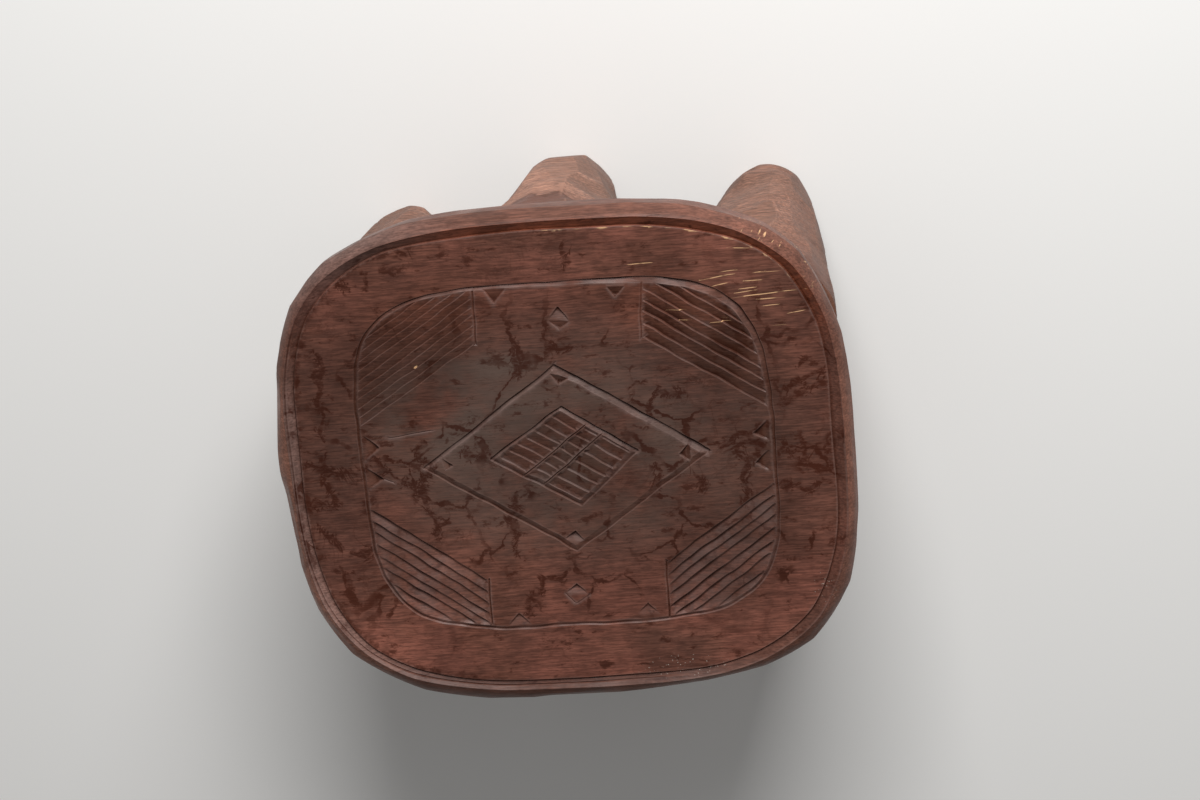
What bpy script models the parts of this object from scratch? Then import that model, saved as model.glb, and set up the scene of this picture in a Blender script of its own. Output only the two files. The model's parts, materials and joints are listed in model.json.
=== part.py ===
"""Carved wooden stool: a rounded square seat with incised ornament, on a ring of six hewn legs.

Metres, +Z up. The origin is on the floor under the middle of the seat, +X runs along the longer side of
the seat and +Y towards the back. Each leg has a round tenon that sits in a blind socket under the seat.
"""

import math

import bmesh
import bpy
from mathutils import Matrix, Vector

# Overall sizes
SEAT_LENGTH = 0.400
SEAT_WIDTH = 0.365
STOOL_HEIGHT = 0.250
SEAT_THICKNESS = 0.040
FIT_GAP = 0.0003

# Seat outline and rim, seen from above and in section
OUTLINE_POWER = 3.3
OUTLINE_POINTS = 72
EDGE_STEPS = 4
BULGE_DROP = 0.012
UNDER_INSET = 0.006
CREST_INSET_ENDS = 0.007
CREST_INSET_SIDES = 0.0105
CREST_SHIFT = 0.0035
LIP_WIDTH = 0.008
LIP_DEPTH = 0.004
STEP_WIDTH = 0.001
FIELD_DEPTH = 0.0025

# Carving on the field, measured from the middle of the crest
GROOVE_LIFT = 0.0002
BORDER_LENGTH = 0.2912
BORDER_WIDTH = 0.2556
BORDER_POWER = 4.1
BORDER_GROOVE = 0.0040
DIAMOND_LENGTH = 0.202
DIAMOND_WIDTH = 0.139
DIAMOND_GROOVE = 0.0050
PANEL_LENGTH = 0.104
PANEL_WIDTH = 0.074
PANEL_SKEW = 0.004
PANEL_GROOVE = 0.0044
PANEL_ROWS = 7
ROW_GROOVE = 0.0030
ROW_END_GAP = 0.06
SPINE_GAP = 0.02
SPINE_LEFT = 0.36
SPINE_RIGHT = 0.57
HATCH_STOP = 0.061
HATCH_FOOT = 0.0865
HATCH_ANGLE = math.radians(35)
HATCH_PITCH = 0.0071
HATCH_LINES = 7
HATCH_GROOVE = 0.0036
HATCH_STEP = 0.001
HATCH_STOP_GAP = 0.0008
CHIP_RADIUS = 0.0095
CHIP_DEPTH = 0.0028
CHIP_BORDER_GAP = 0.012
SIDE_CHIP_SPREAD = 0.044
END_CHIP_SPREAD = 0.011
AXIS_CHIP_INSET = 0.026
CORNER_CHIP_INSET = 0.011

# Legs
ROOT_RADIUS = 0.055
ANKLE_RADIUS = 0.032
FOOT_RADIUS = 0.017
FOOT_ROUND = 0.030
FOOT_ROUND_STEPS = 4
LEG_SIDES = 14
TENON_RADIUS = 0.022
TENON_LENGTH = 0.022
CORNER_SET_IN_ENDS = 0.067
CORNER_SET_IN_SIDES = 0.0970
MIDDLE_SET_IN = 0.0605
CORNER_SPLAY_ENDS = 0.004
CORNER_SPLAY_SIDES = 0.021
MIDDLE_SPLAY = 0.009

# How many steps each hand-cut foot strays from its even place, along the length and the width
STRAY_STEP = 0.001
FOOT_STRAY = {
    "leg_back": (-6, 0),
    "leg_back_left": (5, -5),
    "leg_back_right": (5, 6),
    "leg_front": (4, 2),
    "leg_front_left": (-3, 4),
    "leg_front_right": (-2, -3),
}

SEAT_COLOUR = (0.105, 0.046, 0.033, 1.0)
LEG_COLOUR = (0.185, 0.096, 0.070, 1.0)
WOOD_ROUGHNESS = 0.55

CREST_Z = STOOL_HEIGHT
FIELD_Z = CREST_Z - FIELD_DEPTH
UNDERSIDE_Z = CREST_Z - SEAT_THICKNESS
ROOT_Z = UNDERSIDE_Z - FIT_GAP


def clear_scene():
    for obj in list(bpy.data.objects):
        bpy.data.objects.remove(obj)


def new_collection(name):
    collection = bpy.data.collections.new(name)
    bpy.context.scene.collection.children.link(collection)
    return collection


def wood(name, colour):
    material = bpy.data.materials.new(name)
    material.use_nodes = True
    shader = material.node_tree.nodes["Principled BSDF"]
    shader.inputs["Base Color"].default_value = colour
    shader.inputs["Roughness"].default_value = WOOD_ROUGHNESS
    shader.inputs["Metallic"].default_value = 0.0
    material.diffuse_color = colour
    return material


def add_part(name, mesh, collection, parent, colour):
    mesh.materials.append(wood(name + "_wood", colour))
    part = bpy.data.objects.new(name, mesh)
    part.parent = parent
    collection.objects.link(part)
    return part


def add_cutter(name, mesh, collection):
    cutter = bpy.data.objects.new(name, mesh)
    cutter.hide_render = True
    cutter.display_type = "WIRE"
    collection.objects.link(cutter)
    return cutter


def cut(part, cutter, solver="EXACT"):
    modifier = part.modifiers.new(cutter.name, "BOOLEAN")
    modifier.operation = "DIFFERENCE"
    modifier.solver = solver
    modifier.object = cutter


def plain_mesh(obj, name):
    """The evaluated shape of a curve or of an object with modifiers, as a mesh with its loose caps welded."""
    bpy.context.view_layer.update()
    evaluated = obj.evaluated_get(bpy.context.evaluated_depsgraph_get())
    mesh = bpy.data.meshes.new_from_object(evaluated)
    mesh.name = name
    welded = bmesh.new()
    welded.from_mesh(mesh)
    bmesh.ops.remove_doubles(welded, verts=welded.verts, dist=1e-6)
    bmesh.ops.recalc_face_normals(welded, faces=welded.faces)
    welded.to_mesh(mesh)
    welded.free()
    bpy.data.objects.remove(obj)
    return mesh


def rounded_outline(half_length, half_width, power):
    """Points of a rounded rectangle whose corners get squarer as the power grows."""
    points = []
    for step in range(OUTLINE_POINTS):
        turn = math.tau * step / OUTLINE_POINTS
        x, y = math.cos(turn), math.sin(turn)
        reach = (abs(x / half_length) ** power + abs(y / half_width) ** power) ** (-1 / power)
        points.append(Vector((reach * x, reach * y, 0.0)))
    return points


def seat_ring(inset_ends, inset_sides, shift, z):
    ring = rounded_outline(SEAT_LENGTH / 2 - inset_ends, SEAT_WIDTH / 2 - inset_sides, OUTLINE_POWER)
    return [point + Vector((0.0, shift, z)) for point in ring]


def seat_rings():
    """Rings of the seat from the underside, round the bulging edge and the crest, to the sunk field."""
    rings = []
    for step in range(EDGE_STEPS):
        turn = math.pi / 2 * (1 - step / EDGE_STEPS)
        inset = UNDER_INSET * (1 - math.cos(turn))
        drop = BULGE_DROP + (SEAT_THICKNESS - BULGE_DROP) * math.sin(turn)
        rings.append(seat_ring(inset, inset, 0.0, CREST_Z - drop))
    for step in range(EDGE_STEPS + 1):
        turn = math.pi / 2 * step / EDGE_STEPS
        share = 1 - math.cos(turn)
        drop = BULGE_DROP * (1 - math.sin(turn))
        inset_ends, inset_sides = CREST_INSET_ENDS * share, CREST_INSET_SIDES * share
        rings.append(seat_ring(inset_ends, inset_sides, CREST_SHIFT * share, CREST_Z - drop))
    for width, depth in ((LIP_WIDTH, LIP_DEPTH), (LIP_WIDTH + STEP_WIDTH, FIELD_DEPTH)):
        inset_ends, inset_sides = CREST_INSET_ENDS + width, CREST_INSET_SIDES + width
        rings.append(seat_ring(inset_ends, inset_sides, CREST_SHIFT, CREST_Z - depth))
    return rings


def loft(rings, name):
    """A closed solid through rings of equal count, with a flat face at each end."""
    solid = bmesh.new()
    loops = [[solid.verts.new(point) for point in ring] for ring in rings]
    for lower, upper in zip(loops, loops[1:]):
        for index in range(len(lower)):
            after = (index + 1) % len(lower)
            solid.faces.new((lower[index], lower[after], upper[after], upper[index]))
    solid.faces.new(reversed(loops[0]))
    solid.faces.new(loops[-1])
    mesh = bpy.data.meshes.new(name)
    solid.to_mesh(mesh)
    solid.free()
    return mesh


def groove_cutter(name, paths, width, collection, closed=False):
    """A V-shaped groove along each path on the field: square tubes that stand on an edge."""
    curve = bpy.data.curves.new(name, "CURVE")
    curve.dimensions = "3D"
    curve.twist_mode = "Z_UP"
    curve.bevel_mode = "ROUND"
    curve.bevel_depth = width / 2
    curve.bevel_resolution = 0
    curve.use_fill_caps = not closed
    for path in paths:
        spline = curve.splines.new("POLY")
        spline.points.add(len(path) - 1)
        spline.use_cyclic_u = closed
        for point, place in zip(spline.points, path):
            point.co = (place[0], place[1] + CREST_SHIFT, FIELD_Z + GROOVE_LIFT, 1.0)
    guide = bpy.data.objects.new(name, curve)
    collection.objects.link(guide)
    return add_cutter(name, plain_mesh(guide, name), collection)


def inside_border(point):
    across = abs(point[0]) / (BORDER_LENGTH / 2)
    along = abs(point[1]) / (BORDER_WIDTH / 2)
    return across**BORDER_POWER + along**BORDER_POWER < 1


def hatch_paths():
    """Slanting lines in the four corners, from the upright stop line out to the border."""
    paths = []
    direction = Vector((math.cos(HATCH_ANGLE), -math.sin(HATCH_ANGLE)))
    for line in range(HATCH_LINES):
        start = Vector((HATCH_STOP, HATCH_FOOT + line * HATCH_PITCH / math.cos(HATCH_ANGLE)))
        steps = int(BORDER_LENGTH / HATCH_STEP)
        samples = [start + direction * HATCH_STEP * step for step in range(steps)]
        kept = [point for point in samples if inside_border(point) and point.x > HATCH_STOP + HATCH_STOP_GAP]
        for side, end in ((1, 1), (1, -1), (-1, 1), (-1, -1)):
            paths.append([(side * point.x, end * point.y) for point in (kept[0], kept[-1])])
    return paths


def hatch_stop_paths():
    top = HATCH_FOOT
    while inside_border((HATCH_STOP, top)):
        top += HATCH_STEP
    return [
        [(side * HATCH_STOP, end * HATCH_FOOT), (side * HATCH_STOP, end * (top - HATCH_STEP))]
        for side, end in ((1, 1), (1, -1), (-1, 1), (-1, -1))
    ]


def diamond(length, width, skew=0.0):
    return [(0.0, width / 2), (length / 2, 0.0), (skew, -width / 2), (-length / 2, 0.0)]


def panel_point(across, down):
    """A point of the inner diamond: across runs from its top to its right corner, down to its left corner."""
    top, right, bottom, left = (Vector(corner) for corner in diamond(PANEL_LENGTH, PANEL_WIDTH, PANEL_SKEW))
    return top.lerp(right, across).lerp(left.lerp(bottom, across), down)


def panel_row_paths():
    paths = []
    for row in range(PANEL_ROWS):
        down = (row + 1) / (PANEL_ROWS + 1)
        left = (ROW_END_GAP, SPINE_LEFT - SPINE_GAP)
        right = (SPINE_RIGHT + SPINE_GAP, 1 - ROW_END_GAP)
        for start, end in (left, right):
            paths.append([panel_point(start, down), panel_point(end, down)])
    return paths


def spine_paths():
    return [
        [panel_point(across, ROW_END_GAP), panel_point(across, 1 - ROW_END_GAP)]
        for across in (SPINE_LEFT, SPINE_RIGHT)
    ]


def chip_places():
    """Middle and turn of each three-sided chip: along the border, on the short axis, in the diamond."""
    side_y = BORDER_WIDTH / 2 - CHIP_BORDER_GAP
    end_x = BORDER_LENGTH / 2 - CHIP_BORDER_GAP
    axis_y = BORDER_WIDTH / 2 - AXIS_CHIP_INSET
    corner_y = DIAMOND_WIDTH / 2 - CORNER_CHIP_INSET
    places = []
    for sign in (1, -1):
        facing = math.radians(-90 * sign)
        for spread in (SIDE_CHIP_SPREAD, -SIDE_CHIP_SPREAD):
            places.append((spread, sign * side_y, facing))
        for spread in (END_CHIP_SPREAD, -END_CHIP_SPREAD):
            places.append((sign * end_x, spread, facing - math.pi / 2))
        places.append((0.0, sign * axis_y, -facing))
        places.append((0.0, sign * corner_y, facing))
    return places


def chip_cutter(name, collection):
    chips = bmesh.new()
    tip_down = Matrix.Rotation(math.pi, 4, "X")
    for x, y, turn in chip_places():
        middle = (x, y + CREST_SHIFT, FIELD_Z + GROOVE_LIFT - CHIP_DEPTH / 2)
        place = Matrix.Translation(middle) @ Matrix.Rotation(turn - math.pi / 2, 4, "Z") @ tip_down
        bmesh.ops.create_cone(
            chips, cap_ends=True, segments=3, radius1=CHIP_RADIUS, radius2=0.0, depth=CHIP_DEPTH, matrix=place
        )
    mesh = bpy.data.meshes.new(name)
    chips.to_mesh(mesh)
    chips.free()
    return add_cutter(name, mesh, collection)


def leg_places():
    """Root middle and foot middle of each leg, on a ring under the edge of the seat."""
    corner_x = SEAT_LENGTH / 2 - CORNER_SET_IN_ENDS
    corner_y = SEAT_WIDTH / 2 - CORNER_SET_IN_SIDES
    middle_y = SEAT_WIDTH / 2 - MIDDLE_SET_IN
    places = {}
    for side, y_sign in (("back", 1), ("front", -1)):
        places["leg_" + side] = (Vector((0.0, y_sign * middle_y)), Vector((0.0, y_sign * MIDDLE_SPLAY)))
        for end, x_sign in (("left", -1), ("right", 1)):
            root = Vector((x_sign * corner_x, y_sign * corner_y))
            splay = Vector((x_sign * CORNER_SPLAY_ENDS, y_sign * CORNER_SPLAY_SIDES))
            places["leg_" + side + "_" + end] = (root, splay)
    strays = {name: STRAY_STEP * Vector(FOOT_STRAY[name]) for name in places}
    return {name: (root, splay + strays[name]) for name, (root, splay) in places.items()}


def leg_profile():
    """Half section of a leg, from the top of its tenon down the outer side to the middle of its foot."""
    tenon_top = ROOT_Z + TENON_LENGTH
    profile = [(0.0, tenon_top), (TENON_RADIUS, tenon_top), (TENON_RADIUS, ROOT_Z), (ROOT_RADIUS, ROOT_Z)]
    for step in range(FOOT_ROUND_STEPS + 1):
        turn = math.pi / 2 * step / FOOT_ROUND_STEPS
        radius = FOOT_RADIUS + (ANKLE_RADIUS - FOOT_RADIUS) * math.cos(turn)
        profile.append((radius, FOOT_ROUND * (1 - math.sin(turn))))
    return profile + [(0.0, 0.0)]


def turned_leg(name, collection):
    section = bmesh.new()
    points = [section.verts.new((radius, 0.0, z)) for radius, z in leg_profile()]
    for upper, lower in zip(points, points[1:]):
        section.edges.new((upper, lower))
    mesh = bpy.data.meshes.new(name)
    section.to_mesh(mesh)
    section.free()
    blank = bpy.data.objects.new(name, mesh)
    collection.objects.link(blank)
    screw = blank.modifiers.new("turn", "SCREW")
    screw.steps = LEG_SIDES
    screw.render_steps = LEG_SIDES
    screw.use_merge_vertices = True
    screw.merge_threshold = 0.0001
    return plain_mesh(blank, name)


def add_leg(name, root, lean, collection, parent):
    """A hewn leg that stands upright at its tenon and leans below it, so that its foot stays level."""
    mesh = turned_leg(name + "_blank", collection)
    mesh.name = name
    for vertex in mesh.vertices:
        share = max(0.0, (ROOT_Z - vertex.co.z) / ROOT_Z)
        vertex.co.x += lean.x * share
        vertex.co.y += lean.y * share
    leg = add_part(name, mesh, collection, parent, LEG_COLOUR)
    leg.location = (root.x, root.y, 0.0)
    return leg


def socket_cutter(name, places, collection):
    """Blind round holes for the tenons, open through the underside, with their flats beside the tenon's."""
    sockets = bmesh.new()
    top = ROOT_Z + TENON_LENGTH + FIT_GAP
    bottom = ROOT_Z - TENON_LENGTH
    radius = TENON_RADIUS + FIT_GAP / math.cos(math.pi / LEG_SIDES)
    from_x_axis = Matrix.Rotation(math.pi / 2, 4, "Z")
    for root, _ in places.values():
        place = Matrix.Translation((root.x, root.y, (top + bottom) / 2)) @ from_x_axis
        bmesh.ops.create_cone(
            sockets,
            cap_ends=True,
            segments=LEG_SIDES,
            radius1=radius,
            radius2=radius,
            depth=top - bottom,
            matrix=place,
        )
    mesh = bpy.data.meshes.new(name)
    sockets.to_mesh(mesh)
    sockets.free()
    return add_cutter(name, mesh, collection)


def add_seat(places, parts, cutters, parent):
    seat = add_part("seat", loft(seat_rings(), "seat"), parts, parent, SEAT_COLOUR)
    border = rounded_outline(BORDER_LENGTH / 2, BORDER_WIDTH / 2, BORDER_POWER)
    diamonds = [diamond(DIAMOND_LENGTH, DIAMOND_WIDTH)]
    panel = [diamond(PANEL_LENGTH, PANEL_WIDTH, PANEL_SKEW)]
    cut(seat, socket_cutter("tenon_sockets", places, cutters))
    carvings = (
        groove_cutter("border_groove", [border], BORDER_GROOVE, cutters, closed=True),
        groove_cutter("diamond_groove", diamonds, DIAMOND_GROOVE, cutters, closed=True),
        groove_cutter("panel_groove", panel, PANEL_GROOVE, cutters, closed=True),
        groove_cutter("panel_rows", panel_row_paths(), ROW_GROOVE, cutters),
        groove_cutter("panel_spine", spine_paths(), ROW_GROOVE, cutters),
        groove_cutter("corner_hatching", hatch_paths(), HATCH_GROOVE, cutters),
        groove_cutter("hatch_stops", hatch_stop_paths(), HATCH_GROOVE, cutters),
        chip_cutter("chips", cutters),
    )
    for carving in carvings:
        cut(seat, carving, "MANIFOLD")
    return seat


def main():
    clear_scene()
    parts = new_collection("carved_stool")
    cutters = new_collection("stool_cutters")
    stool = bpy.data.objects.new("stool", None)
    parts.objects.link(stool)
    places = leg_places()
    add_seat(places, parts, cutters, stool)
    for name, (root, lean) in places.items():
        add_leg(name, root, lean, parts, stool)


main()
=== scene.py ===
"""Looks of a carved wooden stool: a dark, stained seat with hand-cut ornament, on six hewn legs.

Metres, +Z up. The carving is laid out from the middle of the seat's crest, X to the right and Y to the back.
"""

import json
import math

import bmesh
import bpy
import numpy as np
from bpy.props import FloatProperty, FloatVectorProperty, IntProperty, PointerProperty
from bpy.types import Operator, Panel, PropertyGroup
from mathutils import Matrix, Vector, geometry, kdtree


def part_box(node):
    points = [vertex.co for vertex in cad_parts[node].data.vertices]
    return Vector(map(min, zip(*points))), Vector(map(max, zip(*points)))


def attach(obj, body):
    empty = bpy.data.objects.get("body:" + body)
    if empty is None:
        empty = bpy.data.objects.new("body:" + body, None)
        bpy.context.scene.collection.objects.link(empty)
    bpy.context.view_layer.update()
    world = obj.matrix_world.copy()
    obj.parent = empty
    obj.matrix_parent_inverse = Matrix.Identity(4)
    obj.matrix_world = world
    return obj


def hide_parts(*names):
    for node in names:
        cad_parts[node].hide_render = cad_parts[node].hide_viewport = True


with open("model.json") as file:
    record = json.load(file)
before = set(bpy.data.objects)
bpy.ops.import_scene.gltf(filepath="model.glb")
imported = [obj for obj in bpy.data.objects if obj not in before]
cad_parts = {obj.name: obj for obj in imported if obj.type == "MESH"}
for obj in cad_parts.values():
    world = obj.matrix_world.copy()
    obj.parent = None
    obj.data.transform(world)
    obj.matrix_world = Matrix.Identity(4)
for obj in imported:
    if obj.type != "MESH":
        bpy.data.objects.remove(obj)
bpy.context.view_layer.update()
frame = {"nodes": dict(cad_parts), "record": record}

bl_info = {
    "name": "Carved stool",
    "version": (1, 0, 0),
    "blender": (4, 5, 0),
    "location": "View3D > Sidebar > Stool",
    "description": "Carves the seat and hews the legs of a wooden stool",
    "category": "Object",
}

SEAT_LOW, SEAT_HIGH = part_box("seat")
HALF_LENGTH = (SEAT_HIGH.x - SEAT_LOW.x) / 2
HALF_WIDTH = (SEAT_HIGH.y - SEAT_LOW.y) / 2
CREST_Z = SEAT_HIGH.z
UNDERSIDE_Z = SEAT_LOW.z
LEG_NODES = sorted(name for name in frame["nodes"] if name.startswith("leg"))

# What sets one leg apart: its thickness as a share, its seed, and how far its root strays in X and Y
SLIM_LEGS = {"leg_back_left": 0.93}
FIRST_LEG_SEED = 20
LEG_SEEDS = {"leg_back_left": 13}
ROOT_STRAY = {
    "leg_back": (-0.003, 0.0045),
    "leg_back_left": (0.001, -0.003),
    "leg_back_right": (0.006, -0.002),
}

# Corners of the two diamonds, from the top round by the right
DIAMOND = ((-0.0018, 0.0681), (0.1002, -0.0012), (0.0007, -0.0711), (-0.1014, -0.0022))
PANEL = ((-0.0005, 0.0371), (0.0506, 0.0014), (0.0071, -0.0369), (-0.0534, 0.0016))

# Steep outer edge, gentle inner slope and depth of the groove along each side, from the upper right side on
DIAMOND_CUTS = (
    (0.0009, 0.0046, 0.0021),
    (0.0006, 0.0036, 0.0012),
    (0.0006, 0.0036, 0.0015),
    (0.0010, 0.0022, 0.0016),
)
PANEL_CUTS = (
    (0.0008, 0.0032, 0.0019),
    (0.0009, 0.0034, 0.0012),
    (0.0009, 0.0032, 0.0012),
    (0.0008, 0.0016, 0.0016),
)

# First hatch line in each corner, from its stop line to the border, and the outer end of the stop line
HATCH_CORNERS = (
    ((-0.0549, 0.0874), (-0.1453, 0.0302), (-0.0525, 0.1265)),
    ((0.0600, 0.0848), (0.1440, 0.0266), (0.0632, 0.1198)),
    ((-0.0647, -0.0899), (-0.1474, -0.0261), (-0.0666, -0.1251)),
    ((0.0618, -0.0845), (0.1436, -0.0271), (0.0612, -0.1235)),
)

# Shares of the hatch pitch and depth used in each corner, the widths of the steep walls and the stops' depths
HATCH_FINENESS = (0.73, 1.0, 0.92, 0.96)
HATCH_FIRMNESS = (0.55, 1.05, 0.85, 0.88)
HATCH_WALLS = (0.0006, 0.0008, 0.0017, 0.0016)
STOP_DEPTHS = (0.0008, 0.0004, 0.0011, 0.0012)

# Where the two columns cross the panel, and the rows and the shift of the rows in its three strips
PANEL_COLUMNS = (0.36, 0.57)
PANEL_STRIPS = ((8, 0.55), (8, 0.15), (7, 0.35))

# Three-sided chips: the deep tip, then the two ends of the edge where the cut runs out
CHIPS = (
    ((-0.0389, 0.1150), (-0.0468, 0.1262), (-0.0288, 0.1255)),
    ((0.0449, 0.1133), (0.0387, 0.1222), (0.0525, 0.1217)),
    ((0.0047, 0.1106), (-0.0039, 0.1014), (0.0125, 0.0990)),
    ((0.0041, 0.0924), (-0.0039, 0.1010), (0.0125, 0.0986)),
    ((-0.0006, 0.0531), (-0.0072, 0.0631), (0.0084, 0.0583)),
    ((0.0008, -0.0555), (-0.0088, -0.0619), (0.0076, -0.0644)),
    ((-0.0023, -0.0957), (-0.0116, -0.1020), (0.0062, -0.1039)),
    ((-0.0461, -0.1154), (-0.0550, -0.1246), (-0.0377, -0.1248)),
    ((0.0468, -0.1133), (0.0390, -0.1206), (0.0546, -0.1212)),
    ((-0.1314, 0.0145), (-0.1430, 0.0267), (-0.1435, 0.0045)),
    ((-0.1300, -0.0085), (-0.1435, 0.0020), (-0.1432, -0.0165)),
    ((0.1309, 0.0086), (0.1420, 0.0195), (0.1424, 0.0020)),
    ((0.1305, -0.0138), (0.1420, -0.0030), (0.1420, -0.0216)),
    ((-0.0801, -0.0012), (-0.0880, 0.0047), (-0.0868, -0.0050)),
    ((0.0779, -0.0031), (0.0878, 0.0062), (0.0862, -0.0106)),
)

# Fine scribed lines: both ends
SCRIBES = (
    ((-0.1300, -0.0085), (-0.1237, -0.0111)),
    ((-0.0116, -0.1024), (-0.0052, -0.1105)),
    ((0.0062, -0.1043), (-0.0040, -0.1110)),
    ((-0.0072, 0.0640), (-0.0010, 0.0700)),
    ((0.0078, -0.0648), (0.0012, -0.0700)),
    ((-0.1232, 0.0216), (-0.0932, 0.0255)),
)

# Scratches down to bare wood: both ends and the widest width
SCRATCHES = (
    ((0.1243, 0.1082), (0.1679, 0.1103), 0.00055),
    ((0.1047, 0.1216), (0.1278, 0.1243), 0.00045),
    ((0.1122, 0.1169), (0.1223, 0.1184), 0.00040),
    ((0.1412, 0.1058), (0.1605, 0.1056), 0.00045),
    ((0.1305, 0.1142), (0.1419, 0.1144), 0.00040),
    ((0.1270, 0.1115), (0.1420, 0.1124), 0.00030),
    ((0.1338, 0.1195), (0.1459, 0.1193), 0.00040),
    ((0.1458, 0.1007), (0.1572, 0.1009), 0.00035),
    ((0.1244, 0.1431), (0.1392, 0.1423), 0.00035),
    ((0.1623, 0.0935), (0.1739, 0.0957), 0.00040),
    ((0.1399, 0.1250), (0.1478, 0.1255), 0.00035),
    ((0.1180, 0.1262), (0.1300, 0.1272), 0.00030),
    ((0.0560, 0.1362), (0.0720, 0.1366), 0.00040),
    ((0.1080, 0.0910), (0.1230, 0.0918), 0.00035),
    ((0.0790, 0.1010), (0.0930, 0.1016), 0.00035),
    ((0.0870, 0.0935), (0.0960, 0.0940), 0.00030),
    ((-0.1008, 0.0726), (-0.0980, 0.0744), 0.0014),
)

# Stains that ran and dried on the field: a path along each
STAINS = (
    ((0.101, 0.001), (0.115, 0.004), (0.129, 0.008), (0.141, 0.013)),
    ((0.123, -0.002), (0.127, 0.003), (0.134, 0.002), (0.136, -0.004), (0.132, -0.010)),
    ((0.132, -0.010), (0.126, -0.009), (0.123, -0.002)),
    ((0.125, -0.012), (0.122, -0.030), (0.124, -0.044)),
    ((0.152, -0.007), (0.167, -0.003), (0.184, -0.008)),
    ((0.162, 0.007), (0.169, -0.003), (0.164, -0.015)),
    ((0.151, -0.030), (0.165, -0.033), (0.182, -0.030)),
    ((0.154, 0.027), (0.170, 0.038), (0.187, 0.043)),
    ((0.168, 0.058), (0.175, 0.061)),
    ((0.188, 0.010), (0.188, -0.019)),
    ((0.180, -0.076), (0.183, -0.093)),
    ((0.157, 0.039), (0.168, 0.047), (0.182, 0.050)),
    ((0.085, 0.041), (0.072, 0.045), (0.064, 0.041), (0.058, 0.019)),
    ((0.062, -0.011), (0.064, -0.028)),
    ((0.088, -0.016), (0.093, -0.029)),
    ((0.059, 0.051), (0.049, 0.049)),
    ((-0.039, -0.021), (-0.040, -0.036), (-0.046, -0.048)),
    ((-0.044, -0.054), (-0.040, -0.072)),
    ((-0.103, -0.020), (-0.102, -0.035), (-0.096, -0.051), (-0.091, -0.045)),
    ((-0.102, 0.015), (-0.099, 0.000), (-0.106, -0.023)),
    ((-0.147, 0.003), (-0.135, 0.004), (-0.126, -0.005), (-0.109, -0.015)),
    ((-0.166, 0.084), (-0.170, 0.043), (-0.170, 0.024)),
    ((-0.185, 0.005), (-0.169, 0.000), (-0.153, -0.004)),
    ((-0.173, 0.013), (-0.172, -0.005), (-0.169, -0.022)),
    ((-0.188, -0.023), (-0.168, -0.026)),
    ((-0.181, -0.044), (-0.169, -0.057)),
    ((-0.161, -0.062), (-0.144, -0.065)),
    ((-0.167, -0.078), (-0.165, -0.094)),
    ((-0.041, -0.117), (-0.035, -0.102), (-0.021, -0.092), (-0.008, -0.087)),
    ((-0.135, -0.098), (-0.139, -0.116)),
    ((-0.128, 0.144), (-0.125, 0.136)),
    ((-0.106, 0.159), (-0.094, 0.154)),
    ((0.015, 0.153), (0.014, 0.139)),
    ((-0.028, 0.084), (-0.029, 0.062)),
    ((-0.005, 0.091), (-0.005, 0.072)),
    ((-0.071, 0.007), (-0.060, 0.003), (-0.052, 0.004)),
    ((-0.003, 0.082), (0.009, 0.083)),
    ((-0.151, 0.139), (-0.139, 0.135)),
)
STAIN_HALF = 0.0070

# Unevenness of the seat: its size, wavelength and seed
LIP_WAVES = (0.0006, 0.09, 3)
CREST_WAVES = (0.0004, 0.06, 21)
UNDER_WAVES = (0.0009, 0.05, 34)
SWELL_WAVES = (0.00035, 0.08, 61)
GRAIN_WAVES = (0.00012, 0.012, 62)
DEPTH_WAVES = (0.25, 0.035, 81)
DASH_WAVES = (0.55, 0.013, 91)
STAIN_WAVES = ((0.0022, 0.022, 71), (0.0022, 0.022, 72))
HAND_WAVES = (((1.0, 0.06, 51), (1.0, 0.024, 53)), ((1.0, 0.06, 52), (1.0, 0.024, 54)))


def a_length(name, description, default):
    return FloatProperty(name=name, description=description, default=default, unit="LENGTH")


def a_colour(name, description, default):
    return FloatVectorProperty(name=name, description=description, default=default, size=3, subtype="COLOR")


def an_angle(name, description, degrees):
    return FloatProperty(name=name, description=description, default=math.radians(degrees), unit="ROTATION")


def a_number(name, description, default, **kind):
    return FloatProperty(name=name, description=description, default=default, **kind)


class StoolSeatShape(PropertyGroup):
    """Sizes of the seat's edge and field."""

    crest_shift: a_length("Crest shift", "How far the crest sits behind the middle", 0.0035)
    crest_inset_ends: a_length("Crest inset, ends", "Crest inside the widest line at the ends", 0.007)
    crest_inset_sides: a_length("Crest inset, sides", "Crest inside the widest line at the sides", 0.0105)
    bulge_drop: a_length("Bulge drop", "Widest line below the crest", 0.012)
    under_inset: a_length("Underside inset", "Underside inside the widest line", 0.006)
    lip_width: a_length("Lip width", "Slope from the crest to the field", 0.0064)
    seam_depth: a_length("Seam depth", "Depth of the scored line on the lip at the left and front", 0.0008)
    lip_depth: a_length("Lip depth", "Foot of the lip below the crest", 0.004)
    step_width: a_length("Step width", "Small rise from the lip to the field", 0.001)
    field_depth: a_length("Field depth", "Field below the crest", 0.0025)
    left_spread: a_length("Left spread", "How much further the seat runs out at the left", 0.0032)
    right_spread: a_length("Right spread", "How much further the seat runs out at the right", 0.0014)
    front_spread: a_length("Front spread", "How much further the seat runs out at the front", 0.0018)
    crest_front: a_length("Crest at the front", "How much further out the crest stands at the front", 0.0028)
    front_pull: a_length("Front pull", "How far the wall is hewn back at the front right", 0.0045)
    left_bulge: a_length("Left bulge", "How far the wall swells out half way along the left", 0.0034)
    outline_power: a_number("Squareness", "Squareness of the seat's outline", 3.3)
    hewn_share: a_number(
        "Hewn share", "How flat the adze left the edge between its corners", 0.45, subtype="FACTOR"
    )
    hewn_corners: IntProperty(name="Hewn corners", description="Flats round the edge", default=29)


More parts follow.
